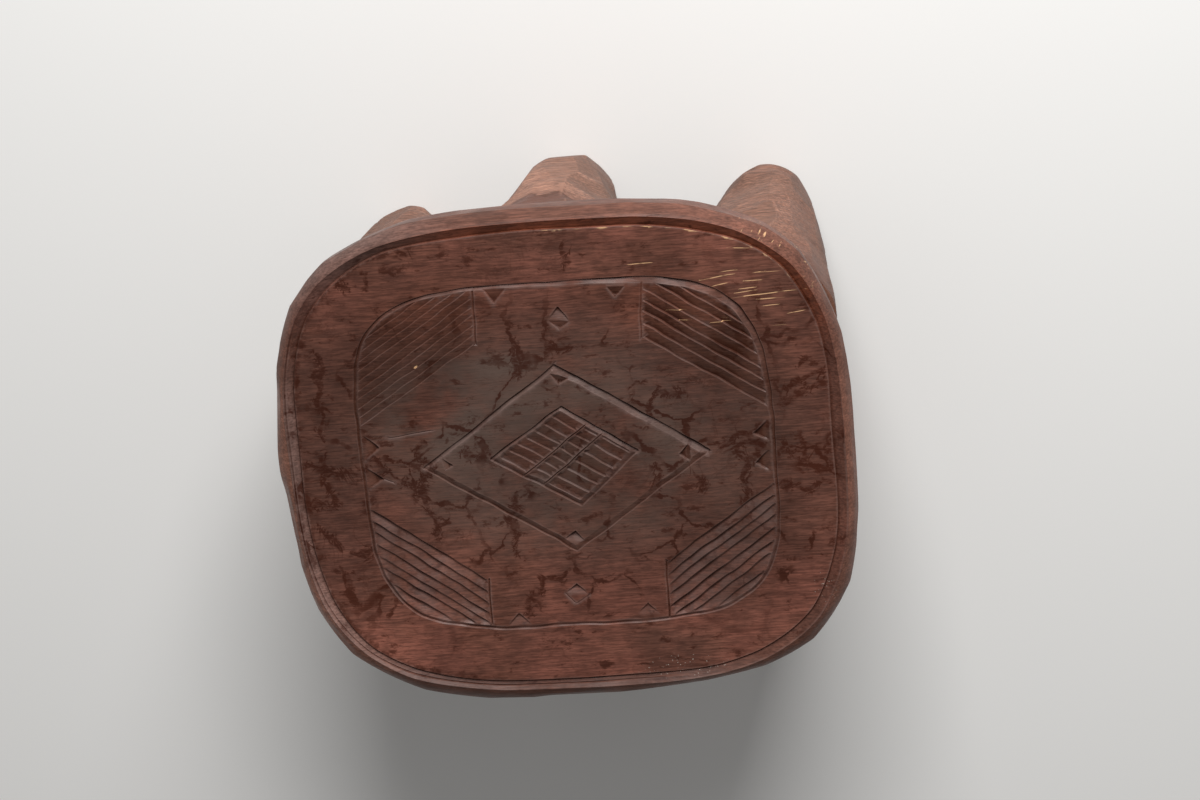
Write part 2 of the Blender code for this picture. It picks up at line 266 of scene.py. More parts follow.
class StoolCarving(PropertyGroup):
    """Sizes of the ornament on the field."""

    border_length: a_length("Border length", "Length of the border groove", 0.2912)
    border_width: a_length("Border width", "Width of the border groove", 0.2556)
    border_power: a_number("Border squareness", "Squareness of the border", 4.1)
    border_depth: a_length("Border depth", "Depth of the border groove", 0.0019)
    hatch_pitch: a_length("Hatch pitch", "Distance between hatch lines", 0.0071)
    hatch_depth: a_length("Hatch depth", "Depth of the hatch cuts", 0.0018)
    row_depth: a_length("Row depth", "Depth of the rows in the panel", 0.0014)
    chip_depth: a_length("Chip depth", "Depth of a chip at its tip", 0.0031)
    wobble: a_length("Hand wobble", "How far a hand-cut line strays", 0.0003)


class StoolLegShape(PropertyGroup):
    """Sizes of the hewn legs."""

    root_radius: a_length("Root radius", "Radius under the seat", 0.0525)
    ankle_radius: a_length("Ankle radius", "Radius above the rounded foot", 0.0320)
    foot_radius: a_length("Foot radius", "Radius of the flat foot", 0.017)
    foot_round: a_length("Foot round", "Height of the rounded foot", 0.030)
    fullness: a_number("Fullness", "Power of the taper: below one, the leg swells", 0.62)
    sunk: a_length("Sunk root", "Height of the root inside the seat", 0.011)
    spare: a_length("Spare wood", "Wood outside the finished surface before the cuts", 0.0027)
    cut_size: a_length("Cut size", "Distance between adze cuts", 0.032)


class StoolFinish(PropertyGroup):
    """Colours of the wood and its stains, and of the painted light, shade and sheen on it."""

    seat_wood: a_colour("Seat wood", "Stained wood of the seat", (0.108, 0.041, 0.027))
    seat_red: a_colour("Red wood", "Redder wood on the seat", (0.146, 0.053, 0.036))
    # Also painted shade on the lip at the front
    seat_deep: a_colour("Deep wood", "Dark, dull wood on the seat", (0.069, 0.029, 0.020))
    wall_wood: a_colour("Wall wood", "Paler wood outside the crest", (0.134, 0.055, 0.037))
    # Painted light on the side walls, drawn brighter as well as redder
    lit_side_wood: a_colour("Side wood", "Redder wood outside the crest at the sides", (0.225, 0.100, 0.068))
    lip_wood: a_colour("Lip wood", "Wood inside the crest", (0.165, 0.042, 0.018))
    # Stained wood in the cuts and cracks, and painted shade in the cuts, on the front wall, at the legs' tops
    # and along the torn root
    cut_and_shade_wood: a_colour("Cut wood", "Wood in the cuts", (0.080, 0.028, 0.0145))
    # Painted sheen on the cuts that face the back, towards the lamp; also the grey of the wall and lip at the
    # back left
    grey_and_sheen: a_colour("Pale cut", "Bleached cuts that face the back", (0.142, 0.099, 0.089))
    # Dried stains, dirt and pores, and painted shade at the bottoms of the cuts and in the folds
    dark_stain_and_shade: a_colour("Dark stain", "Dried stains", (0.034, 0.0062, 0.0016))
    # Grey film: partly dust, partly painted sheen
    dust_and_sheen: a_colour("Dust", "Grey film in the middle", (0.090, 0.061, 0.049))
    # Rubbed edges, and painted light on the lip at the left
    worn_and_lit_edge: a_colour("Worn edge", "Rubbed edges", (0.215, 0.135, 0.115))
    bare_wood: a_colour("Bare wood", "Wood under the stain", (0.66, 0.40, 0.21))
    speck: a_colour("Specks", "Pale flecks along the edge", (0.48, 0.42, 0.36))
    leg_wood: a_colour("Leg wood", "Paler wood of the legs", (0.190, 0.085, 0.055))
    end_wood: a_colour("End grain", "Duller wood where a leg shows its end grain", (0.112, 0.061, 0.043))
    leg_pale: a_colour("Leg bands", "Pale growth bands on the legs", (0.282, 0.140, 0.094))


class StoolStage(PropertyGroup):
    """Floor, lights and camera."""

    floor_colour: a_colour("Floor", "Colour of the floor", (0.82, 0.81, 0.79))
    sky: a_number("Sky", "Strength of the even light", 0.24)
    key_power: a_number("Key", "Power of the large soft lamp", 60.0, unit="POWER")
    key_size: a_length("Key size", "Side of the large soft lamp", 1.1)
    focal: a_number("Focal length", "Lens in millimetres", 89.46, unit="CAMERA")
    distance: a_length("Distance", "From the lens to the middle of the crest", 2.084)
    tilt: an_angle("Tilt", "Lean of the view towards the back", 20.0)
    yaw: an_angle("Yaw", "Swing of the view to the right", 7.08)
    roll: an_angle("Roll", "Turn of the picture", 6.13)
    middle_across: a_number(
        "Middle across", "Middle of the crest in the picture, right of its centre", -33.64
    )
    middle_up: a_number("Middle up", "Middle of the crest in the picture, above its centre", -57.97)
    picture_width: a_number("Picture width", "Width that the two places refer to", 1200.0)


# Nodes


class Wire:
    """A socket in a node tree that can be reckoned with: each operation adds a node to the tree."""

    def __init__(self, tree, socket):
        self.tree = tree
        self.socket = socket

    def maths(self, operation, *others, **settings):
        """The result of a Math node or, on a vector or a colour, a Vector Math node."""
        values = dict(enumerate((self, *others)))
        if self.socket.type not in ("VECTOR", "RGBA"):
            return output_of(self.tree, "ShaderNodeMath", values, operation=operation, **settings)
        pick = "Value" if operation in ("LENGTH", "DISTANCE", "DOT_PRODUCT") else "Vector"
        return output_of(self.tree, "ShaderNodeVectorMath", values, pick, operation=operation)

    def __add__(self, other):
        return self.maths("ADD", other)

    def __sub__(self, other):
        return self.maths("SUBTRACT", other)

    def __mul__(self, other):
        return self.maths("MULTIPLY", other)

    def __truediv__(self, other):
        return self.maths("DIVIDE", other)

    def __abs__(self):
        return self.maths("ABSOLUTE")

    def taken_from(self, whole):
        """A number less this one."""
        return output_of(self.tree, "ShaderNodeMath", {0: whole, 1: self}, operation="SUBTRACT")

    def times_plus(self, factor, extra):
        """This times a factor, plus an extra, in one node."""
        return self.maths("MULTIPLY_ADD", factor, extra)

    def scaled(self, factor):
        """This vector times a number."""
        values = {0: self, "Scale": factor}
        return output_of(self.tree, "ShaderNodeVectorMath", values, "Vector", operation="SCALE")


def join(value, socket):
    """Links a wire to a socket, or sets the socket to a plain value."""
    if isinstance(value, Wire):
        value.tree.links.new(value.socket, socket)
    else:
        socket.default_value = value


def new_node(tree, kind, inputs=None, **settings):
    """A node with its settings, and its inputs linked or set by name or number."""
    node = tree.nodes.new(kind)
    for name, value in settings.items():
        setattr(node, name, value)
    for key, value in (inputs or {}).items():
        join(value, node.inputs[key])
    return node


def output_of(tree, kind, inputs=None, pick=0, **settings):
    """One output of a new node, by name or number."""
    return Wire(tree, new_node(tree, kind, inputs, **settings).outputs[pick])


def wires_of(tree, sockets):
    return {socket.name: Wire(tree, socket) for socket in sockets if socket.name}


def most(*wires):
    """The highest of several values."""
    highest, *others = wires
    for other in others:
        highest = highest.maths("MAXIMUM", other)
    return highest


def ramp(value, low, high, first=0.0, last=1.0):
    """Goes smoothly from first to last as the value goes from low to high."""
    limits = {0: value, 1: low, 2: high, 3: first, 4: last}
    return output_of(value.tree, "ShaderNodeMapRange", limits, interpolation_type="SMOOTHSTEP")


def noise(vector, scale, detail=2.0, roughness=0.5, distortion=0.0, pick=0):
    """Noise about a half, mostly between a third and two thirds."""
    values = {"Scale": scale, "Detail": detail, "Roughness": roughness, "Distortion": distortion}
    return output_of(vector.tree, "ShaderNodeTexNoise", {"Vector": vector, **values}, pick)


def split(vector):
    parts = new_node(vector.tree, "ShaderNodeSeparateXYZ", {0: vector})
    return [Wire(vector.tree, socket) for socket in parts.outputs]


def merge(x, y, z):
    tree = next(part.tree for part in (x, y, z) if isinstance(part, Wire))
    return output_of(tree, "ShaderNodeCombineXYZ", {0: x, 1: y, 2: z})


def mix(factor, first, second, blend="MIX"):
    """Goes from the first colour to the second, or blends it in, by a factor."""
    tree = next(value.tree for value in (factor, first) if isinstance(value, Wire))
    first, second = (value if isinstance(value, Wire) else (*value, 1.0) for value in (first, second))
    inputs = {0: factor, 6: first, 7: second}
    return output_of(tree, "ShaderNodeMix", inputs, 2, data_type="RGBA", blend_type=blend)


def new_group(name, kind, inputs, outputs):
    """A node group, its inputs and the sockets of its outputs. Inputs are (name, type, default)."""
    tree = bpy.data.node_groups.new(name, kind)
    for label, socket_type, default in inputs:
        socket = tree.interface.new_socket(label, in_out="INPUT", socket_type=socket_type)
        if default is not None:
            socket.default_value = default
    for label, socket_type in outputs:
        tree.interface.new_socket(label, in_out="OUTPUT", socket_type=socket_type)
    given, made = tree.nodes.new("NodeGroupInput"), tree.nodes.new("NodeGroupOutput")
    return tree, wires_of(tree, given.outputs), made.inputs


def place_group(tree, group, inputs):
    """The outputs of a node group, in order."""
    placed = new_node(tree, tree.bl_idname.replace("NodeTree", "NodeGroup"), inputs, node_tree=group)
    return list(wires_of(tree, placed.outputs).values())


# Finish

# How much faster each kind of grain changes along X, Y and Z
FIBRE_STRETCH = (26.0, 760.0, 760.0)
STREAK_STRETCH = (13.0, 290.0, 290.0)
GRIT_STRETCH = (80.0, 700.0, 700.0)
PORE_STRETCH = (160.0, 900.0, 900.0)
CHECK_STRETCH = (22.0, 160.0, 330.0)
SCRATCH_STRETCH = (30.0, 1500.0, 300.0)
BREAK_STRETCH = (130.0, 300.0, 300.0)
BLEED_STRETCH = (0.5, 1.0, 1.0)

# Where the heart of the trunk lay, how far the growth rings stray from round, and their widths
HEART_BEHIND = 0.52
HEART_BELOW = 0.16
RING_DRIFT = 0.045
RING_RIPPLE = 0.006
DRIFT_STRETCH = (0.35, 1.0, 1.0)
SEAT_RING_WIDTH = 0.0085
LEG_RING_WIDTH = 0.0062
LEG_LINE_WIDTH = 0.0026

# Least and most roughness of the two woods, and how far they shine
SEAT_ROUGHNESS = (0.38, 0.56)
SEAT_GLOSS = 0.20
LEG_ROUGHNESS = (0.50, 0.68)
LEG_GLOSS = 0.30

# Heights of the bump, and where a noise usually starts and ends
SEAT_BUMP = 0.0003
LEG_BUMP = 0.0006
NOISE_LOW = 0.36
NOISE_HIGH = 0.64


def growth_rings_group():
    """Grain of one block of wood whose heart runs along X, behind and below the seat."""
    tree, inputs, outputs = new_group(
        "growth rings",
        "ShaderNodeTree",
        [("Vector", "NodeSocketVector", None), ("Ring Width", "NodeSocketFloat", LEG_RING_WIDTH)],
        [("Rings", "NodeSocketFloat"), ("Fibre", "NodeSocketFloat")],
    )
    vector = inputs["Vector"]
    _, y, z = split(vector)
    drift = noise(vector * DRIFT_STRETCH, 9.0, 2.0) * RING_DRIFT
    ripple = noise(vector, 60.0, 3.0) * RING_RIPPLE
    reach = merge(0.0, y - HEART_BEHIND, z + HEART_BELOW).maths("LENGTH") + drift + ripple
    wave = (reach / inputs["Ring Width"] * math.tau).maths("SINE")
    join(ramp(wave, -0.6, 1.0), outputs["Rings"])
    join(noise(vector * FIBRE_STRETCH, 1.0, 3.0, 0.6), outputs["Fibre"])
    return tree


def stain_group():
    """Stains: thin runs and small smudges all over, and branching blots where the wood is soaked."""
    tree, inputs, outputs = new_group(
        "soaked stain",
        "ShaderNodeTree",
        [("Vector", "NodeSocketVector", None), ("Soaked", "NodeSocketFloat", 0.0)],
        [("Stain", "NodeSocketFloat"), ("Cloud", "NodeSocketFloat")],
    )
    vector, soaked = inputs["Vector"], inputs["Soaked"]
    # Veins follow the line where a noise crosses its middle, in patches and in soaked wood
    veins = ramp(abs(noise(vector, 46.0, 5.0, 0.62, 0.7) - 0.5), 0.036, 0.004)
    patches = ramp(noise(vector, 11.0, 2.0), 0.52, 0.66)
    zone = most(ramp(soaked, 0.05, 0.55), patches * 0.35)
    # Blots are ragged along the fibres and broken up into hairs
    bled = vector * BLEED_STRETCH
    ragged = noise(bled, 190.0, 6.0, 0.7, 0.4)
    hairs = ramp(noise(bled, 430.0, 3.0, 0.7, 0.5), 0.36, 0.58, 0.42, 1.0)
    blots = ramp(soaked + ragged, 1.12, 1.34) * hairs
    # Runs follow the borders of uneven cells, dark in the middle and soft beside it
    strayed = (noise(vector, 70.0, 4.0, pick="Color") - (0.5, 0.5, 0.5)) * (0.02, 0.02, 0.0)
    place = (vector + strayed) * (1.0, 1.0, 0.0)
    cells = {"Vector": place, "Scale": 21.0}
    cells = output_of(tree, "ShaderNodeTexVoronoi", cells, feature="DISTANCE_TO_EDGE")
    broken = ramp(noise(vector, 34.0, 3.0, 0.6), 0.42, 0.60)
    thin = ramp((ragged - 0.5).times_plus(0.14, cells), 0.034, 0.010)
    soft = ramp(cells, 0.150, 0.015, 0.0, 0.16)
    # The bands at the front and back have few runs
    quiet = ramp(abs(split(vector)[1]), 0.095, 0.130, 1.0, 0.28)
    runs = most(thin, soft) * broken * quiet
    smudges = ramp(noise(bled, 105.0, 5.0, 0.7, 0.3), 0.555, 0.66, 0.0, 0.85)
    join(most(veins * zone, most(blots, runs), smudges), outputs["Stain"])
    join(noise(vector, 7.5, 3.0, 0.55, 0.4), outputs["Cloud"])
    return tree


def rubbing_group():
    """Uneven rubbing that decides where an edge is worn, and a fine speckle of pores."""
    tree, inputs, outputs = new_group(
        "rubbing",
        "ShaderNodeTree",
        [("Vector", "NodeSocketVector", None), ("Edge", "NodeSocketFloat", 0.0)],
        [("Worn", "NodeSocketFloat"), ("Pores", "NodeSocketFloat")],
    )
    vector = inputs["Vector"]
    uneven = ramp(noise(vector, 70.0, 3.0, 0.6), 0.30, 0.62, 0.25, 1.0)
    join(ramp(inputs["Edge"], 0.40, 1.0) * uneven, outputs["Worn"])
    join(ramp(noise(vector * PORE_STRETCH, 1.0, 1.0), 0.60, 0.72), outputs["Pores"])
    return tree


def attribute(tree, name):
    return output_of(tree, "ShaderNodeAttribute", pick="Fac", attribute_name=name)


def wood_shader(name, roughness, gloss):
    """A material, its Principled shader and the piece's own coordinates."""
    material = bpy.data.materials.new(name)
    material.use_nodes = True
    tree = material.node_tree
    shader = tree.nodes["Principled BSDF"]
    shader.inputs["Specular IOR Level"].default_value = gloss
    vector = output_of(tree, "ShaderNodeTexCoord", pick="Object")
    dull = noise(vector, 26.0, 3.0, 0.6)
    join(ramp(dull, 0.3, 0.7, *roughness), shader.inputs["Roughness"])
    return material, shader, vector


def bump_from(shader, heights, distance):
    """Adds up (height, share) pairs and feeds them to the shader's normal."""
    first, *others = (height * share for height, share in heights)
    bump = {"Height": sum(others, first), "Distance": distance, "Strength": 1.0}
    join(output_of(first.tree, "ShaderNodeBump", bump, "Normal"), shader.inputs["Normal"])


def near(vector, middle, radii):
    """One at a place on the seat, falling to nothing at the given half sizes."""
    inverse = tuple(1.0 / radius for radius in radii)
    return ramp(((vector - middle) * inverse).maths("LENGTH"), 1.0, 0.25)


def tint(colour, target, factor, share=1.0):
    """The colour, taken towards a target by a factor times a share."""
    return mix(factor.maths("MULTIPLY", share, use_clamp=True), colour, target)


def tinted(colour, *layers):
    """The colour under several tints, each a target, a factor and a share."""
    for target, factor, share in layers:
        colour = tint(colour, target, factor, share)
    return colour


def dimmed(colour, level):
    """The colour times a level, which may be above one."""
    return mix(1.0, colour, merge(level, level, level), "MULTIPLY")


def shade(colour, value, low, high):
    """The colour, made darker or lighter as a noise goes from its usual low to its usual high."""
    return dimmed(colour, ramp(value, NOISE_LOW, NOISE_HIGH, low, high))


def grit(vector):
    """Fine streaks along the fibres."""
    return noise(vector * GRIT_STRETCH, 1.0, 2.0, 0.7)


# How far above and below a place on the seat counts
SPOT_DEPTH = 0.08


def spot(x, y, half_x, half_y, half_z=SPOT_DEPTH, below=0.0):
    """Middle and half sizes of a place on the seat, at the height of the crest or below it."""
    return (x, y, CREST_Z - below), (half_x, half_y, half_z)


# Where the wood is deep, and how much
DEEP_PLACES = (
    (spot(-0.190, 0.020, 0.085, 0.150), 0.60),
    (spot(-0.100, 0.085, 0.075, 0.065), 0.72),
    (spot(0.095, 0.010, 0.080, 0.070), 0.35),
    (spot(0.105, 0.080, 0.070, 0.060), 0.62),
    (spot(0.060, -0.060, 0.090, 0.070), 0.40),
    (spot(-0.060, 0.105, 0.080, 0.040), 0.35),
)
REDDENED_PLACES = (spot(-0.088, 0.112, 0.060, 0.030), spot(0.084, 0.108, 0.055, 0.032))
# Where a grey film lies: partly dust, partly a painted sheen, as in the thin streak left of the diamond's top
DUST_AND_SHEEN_PLACES = (
    spot(-0.005, 0.010, 0.190, 0.112),
    spot(-0.085, 0.040, 0.070, 0.045),
    spot(-0.045, 0.073, 0.050, 0.013),
)

# Places that are darker or lighter as a whole, and how much
LEVELS = (
    (spot(0.105, -0.090, 0.065, 0.055), 0.82),
    (spot(0.178, -0.010, 0.040, 0.130), 1.22),
    (spot(-0.040, -0.150, 0.090, 0.050), 0.96),
    (spot(-0.160, -0.120, 0.075, 0.080), 1.30),
    (spot(-0.110, -0.085, 0.050, 0.040), 0.90),
    (spot(-0.060, -0.080, 0.070, 0.060), 1.22),
    (spot(0.075, -0.145, 0.110, 0.045), 1.14),
    (spot(0.130, 0.118, 0.065, 0.040), 1.16),
    (spot(-0.195, 0.000, 0.030, 0.150), 1.10),
    (spot(-0.005, 0.000, 0.090, 0.065), 0.85),
    (spot(-0.110, 0.080, 0.075, 0.065), 0.84),
    (spot(0.090, 0.060, 0.060, 0.050), 0.88),
    (spot(0.130, 0.150, 0.060, 0.040), 1.12),
    (spot(-0.030, 0.185, 0.075, 0.014, 0.03), 0.84),
    (spot(-0.190, -0.060, 0.040, 0.080), 1.08),
    (spot(-0.075, -0.118, 0.045, 0.045), 1.12),
    (spot(-0.150, -0.118, 0.045, 0.045), 1.08),
    (spot(0.135, -0.125, 0.065, 0.050), 1.12),
)

# Where the painted sheen on the cuts' slopes is weaker
FAINT_PLACE = spot(-0.112, 0.088, 0.085, 0.075)
SCRATCHED_PLACE = spot(0.150, 0.110, 0.060, 0.045, 0.03)
NICKED_PLACE = spot(0.165, 0.148, 0.050, 0.050, 0.06)
FLECKED_PLACES = (spot(0.068, -0.160, 0.042, 0.012, 0.03), spot(0.171, -0.108, 0.014, 0.020, 0.03))
# The wall at the back left, where it has gone grey
GREYED_WALL = spot(-0.140, 0.155, 0.110, 0.060, 0.050, below=0.010)

# Where a part of the seat begins and where it is full, along X or Y
BACK_BAND = (0.10, 0.16)
FRONT_BAND = (-0.03, -0.13)
LEFT_END = (-0.13, -0.18)
RIGHT_END = (0.13, 0.18)
LEFT_HALF = (-0.03, -0.12)
BEFORE_BACK = (0.10, 0.04)
FRONT_WALL = (-0.10, -0.16)
FRONT_EDGE = (-0.09, -0.14)
FRONT_LIP = (-0.06, -0.13)
BACK_LIP = (0.06, 0.12)
PAST_LEFT = (-0.15, -0.06)

# How often the nicks come round the edge, and up it
NICKS_ROUND = 105.0
NICKS_UP = 120.0


def seat_ground(vector, finish, rings, fibre, cloud):
    """The wood's colour: redder at the front and back, deeper in places, paler outside the crest, lighter
    along the front edge and a little darker on the lip at the right, with painted light on the side walls and
    the lip at the left, painted shade on the front wall and the lip at the front, and a grey film of dust and
    painted sheen.
    """
    x, y, _ = split(vector)
    wall, lip = (attribute(vector.tree, name) for name in ("wall", "lip"))
    colour = mix(ramp(cloud, 0.34, 0.66), finish.seat_deep, finish.seat_wood)
    bands = most(ramp(y, *BACK_BAND), ramp(y, *FRONT_BAND))
    patches = ramp(noise(vector, 13.0, 3.0), 0.34, 0.64)
    colour = tint(colour, finish.seat_red, (bands + 0.35) * patches)
    for place, share in DEEP_PLACES:
        colour = tint(colour, finish.seat_deep, near(vector, *place), share)
    for place in REDDENED_PLACES:
        colour = tint(colour, finish.lip_wood, near(vector, *place), 0.20)
    checks = ramp(noise(vector * CHECK_STRETCH, 1.0, 4.0, 0.65), 0.56, 0.68)
    at_left = ramp(x, *LEFT_END) * ramp(y, *BEFORE_BACK)
    at_right = ramp(x, *RIGHT_END) * ramp(y, *BEFORE_BACK)
    at_back = ramp(y, *BACK_LIP) * ramp(x, *PAST_LEFT)
    greyed = near(vector, *GREYED_WALL)
    colour = tinted(
        colour,
        (finish.wall_wood, wall, 0.85),
        (finish.cut_and_shade_wood, checks * wall, 0.55),
        # Painted light: the side walls, which the lamp at the back leaves in shade, are drawn brighter as
        # well as redder
        (finish.lit_side_wood, at_left * wall, 1.0),
        (finish.lit_side_wood, at_right * wall, 0.30),
        # Painted shade: the front wall, turned away from the lamp, is drawn darker
        (finish.cut_and_shade_wood, ramp(y, *FRONT_WALL) * wall, 0.60),
        (finish.grey_and_sheen, greyed * wall, 0.45),
        (finish.lip_wood, lip * at_back, 0.75),
        (finish.grey_and_sheen, lip * greyed, 0.30),
        # Painted shade darkens the lip at the front, where the lamp at the back would light it; painted light
        # pales the lip at the left; the lip at the right is a little darker
        (finish.seat_deep, lip * ramp(y, *FRONT_LIP), 0.90),
        (finish.worn_and_lit_edge, lip * at_left, 0.44),
        (finish.seat_deep, lip * at_right, 0.12),
        (finish.seat_deep, rings, 0.16),
    )
    colour = shade(colour, noise(vector, 58.0, 4.0, 0.6), 0.87, 1.14)
    colour = shade(colour, fibre, 0.87, 1.12)
    colour = shade(colour, noise(vector * STREAK_STRETCH, 1.0, 4.0, 0.66), 0.94, 1.06)
    colour = shade(colour, grit(vector), 0.77, 1.23)
    colour = dimmed(colour, ramp(y, *FRONT_EDGE, 1.0, 1.13))
    film = ramp(noise(vector, 17.0, 4.0, 0.6), 0.28, 0.60, 0.0, 0.78)
    for place in DUST_AND_SHEEN_PLACES:
        colour = tint(colour, finish.dust_and_sheen, near(vector, *place) * film)
    return colour


def seat_wear(vector, finish, colour):
    """Scratches down to bare wood, nicks across the edge and pale flecks along it."""
    x, y, z = split(vector)
    broken = ramp(noise(vector * BREAK_STRETCH, 1.0, 2.0), 0.36, 0.50, 0.15, 1.0)
    bare = ramp(attribute(vector.tree, "bare"), 0.45, 0.95) * broken
    lines = ramp(noise(vector * SCRATCH_STRETCH, 1.0, 2.0), 0.71, 0.77) * near(vector, *SCRATCHED_PLACE)
    round_edge = merge(y.maths("ARCTAN2", x) * NICKS_ROUND, z * NICKS_UP, 0.0)
    nicks = ramp(noise(round_edge, 1.0, 2.0), 0.64, 0.71) * near(vector, *NICKED_PLACE)
    nicks = nicks * attribute(vector.tree, "wall")
    colour = tint(colour, finish.bare_wood, most(bare, lines, nicks), 0.85)
    flecks = ramp(noise(vector, 700.0, 1.0), 0.69, 0.75)
    for place in FLECKED_PLACES:
        colour = tint(colour, finish.speck, flecks * near(vector, *place))
    return colour


def seat_material(finish, groups):
    material, shader, vector = wood_shader("stained_seat_wood", SEAT_ROUGHNESS, SEAT_GLOSS)
    tree = vector.tree
    names = ("wall", "cut", "painted_sheen", "stain", "ridge", "valley", "edge")
    wall, cut, painted_sheen, soaked, ridge, valley, edge = (attribute(tree, name) for name in names)
    rings, fibre = place_group(tree, groups["rings"], {"Vector": vector, "Ring Width": SEAT_RING_WIDTH})
    stain, cloud = place_group(tree, groups["stain"], {"Vector": vector, "Soaked": soaked})
    worn, pores = place_group(tree, groups["rubbing"], {"Vector": vector, "Edge": ridge})
    painted_sheen = painted_sheen * ramp(near(vector, *FAINT_PLACE), 0.0, 1.0, 1.0, 0.35)
    uneven = ramp(noise(vector, 85.0, 3.0, 0.6), 0.34, 0.60, 0.30, 1.0)
    dirt = ramp(edge.times_plus(0.42, noise(vector, 120.0, 5.0, 0.7, 0.3)), 0.80, 0.98)
    colour = tinted(
        seat_ground(vector, finish, rings, fibre, cloud),
        (finish.dark_stain_and_shade, stain * ramp(wall, 1.0, 0.0, 0.30, 1.0), 0.88),
        (finish.dark_stain_and_shade, pores, 0.25),
        # Darker in the cuts that do not face the back: partly stained wood in the cuts, partly painted shade
        (finish.cut_and_shade_wood, cut * painted_sheen.taken_from(1.0), 0.66),
        # Painted sheen: slopes that face the back, towards the lamp, are drawn paler
        (finish.grey_and_sheen, painted_sheen * uneven, 0.40),
        # Painted shade: darker at the bottoms of the deepest cuts and along the folds
        (finish.dark_stain_and_shade, ramp(cut, 0.70, 1.0), 0.52),
        (finish.dark_stain_and_shade, ramp(valley, 0.30, 1.0), 0.30),
        (finish.worn_and_lit_edge, worn * wall.taken_from(1.0), 0.30),
        (finish.dark_stain_and_shade, dirt * ramp(split(vector)[0], *LEFT_HALF), 0.70),
    )
    for place, level in LEVELS:
        colour = dimmed(colour, ramp(near(vector, *place), 0.0, 1.0, 1.0, level))
    join(seat_wear(vector, finish, colour), shader.inputs["Base Color"])
    heights = [(fibre, 0.4), (noise(vector, 240.0, 3.0), 0.35), (pores, -0.15)]
    bump_from(shader, heights, SEAT_BUMP)
    return material


# Where the roots take on the seat's colour, counted with the noise that makes the line ragged, and the
# heights between which they get a painted shade where they meet the seat
ROOT_LINE = 0.247
UNDER_SEAT = (0.204, 0.212)

# Where the root of the middle back leg is torn, with half sizes; a dark painted shadow runs along its root
# line there
TORN_AND_SHADED_ROOT = ((-0.004, 0.172, 0.196), (0.062, 0.050, 0.040))


def leg_material(finish, groups):
    material, shader, vector = wood_shader("hewn_leg_wood", LEG_ROUGHNESS, LEG_GLOSS)
    tree = vector.tree
    facet, ridge, end_grain = (attribute(tree, name) for name in ("facet", "ridge", "end_grain"))
    rings, fibre = place_group(tree, groups["rings"], {"Vector": vector, "Ring Width": LEG_RING_WIDTH})
    lines, _ = place_group(tree, groups["rings"], {"Vector": vector, "Ring Width": LEG_LINE_WIDTH})
    stain, cloud = place_group(tree, groups["stain"], {"Vector": vector})
    worn, pores = place_group(tree, groups["rubbing"], {"Vector": vector, "Edge": ridge})
    colour = mix(ramp(cloud, 0.36, 0.66), finish.leg_wood, finish.leg_pale)
    colour = tint(colour, finish.seat_red, rings, 0.08)
    colour = shade(colour, noise(vector, 45.0, 4.0, 0.6), 0.90, 1.10)
    patchy = ramp(noise(vector, 30.0, 3.0), 0.36, 0.62, 0.1, 1.0)
    colour = tint(colour, finish.seat_deep, ramp(lines, 0.80, 1.0) * patchy, 0.46)
    colour = shade(colour, fibre, 0.74, 1.25)
    colour = shade(colour, grit(vector), 0.72, 1.28)
    # Each cut's tone: partly duller end grain, partly painted light that makes the cuts leaning up paler
    facet = ramp(facet, 0.0, 1.0)
    colour = tint(colour, finish.end_wood, facet.taken_from(1.0), 0.22)
    colour = dimmed(colour, ramp(facet, 0.0, 1.0, 0.90, 1.14))
    z = split(vector)[2]
    ragged = noise(vector, 24.0, 4.0, 0.6).times_plus(0.10, z)
    torn_and_shaded = near(vector, *TORN_AND_SHADED_ROOT)
    colour = tinted(
        colour,
        (finish.end_wood, ramp(end_grain, 0.25, 0.95), 0.45),
        (finish.wall_wood, ramp(ragged, ROOT_LINE - 0.030, ROOT_LINE + 0.012), 0.6),
        (finish.seat_wood, ramp(ragged, ROOT_LINE - 0.005, ROOT_LINE) * torn_and_shaded, 0.85),
        # Painted shadow: a dark line where the torn root steps into the seat
        (finish.cut_and_shade_wood, ramp(abs(ragged - ROOT_LINE), 0.0045, 0.0005) * torn_and_shaded, 0.8),
        # Painted shade at the top of the leg, where it meets the seat
        (finish.cut_and_shade_wood, ramp(z, *UNDER_SEAT), 0.6),
        (finish.seat_deep, stain, 0.45),
        (finish.seat_deep, pores, 0.25),
        (finish.leg_pale, worn, 0.50),
    )
    join(colour, shader.inputs["Base Color"])
    heights = [(fibre, 0.5), (rings, 0.25), (noise(vector, 180.0, 3.0), 0.4), (pores, -0.5)]
    bump_from(shader, heights, LEG_BUMP)
    return material


def wood_finish():
    """The two wood materials, made once and shared by the operators."""
    if "stained_seat_wood" not in bpy.data.materials:
        finish = bpy.context.scene.stool_finish
        groups = {"rings": growth_rings_group(), "stain": stain_group(), "rubbing": rubbing_group()}
        seat_material(finish, groups)
        leg_material(finish, groups)
    return bpy.data.materials["stained_seat_wood"], bpy.data.materials["hewn_leg_wood"]


# Hewing

# Most cuts to a square metre, the least share of its depth that a cut goes to, the share of its reach within
# which it is full, and the tone of wood that no cut has touched
MOST_CUTS = 20000.0
LEAST_SUNK = 0.1
FULL_REACH = 0.6
UNCUT_TONE = 0.5

# How far a cut reaches, and how far it leans
LEG_REACH = 0.075
LEG_TILT = 0.085
RIM_REACH = 0.055
RIM_TILT = 0.035


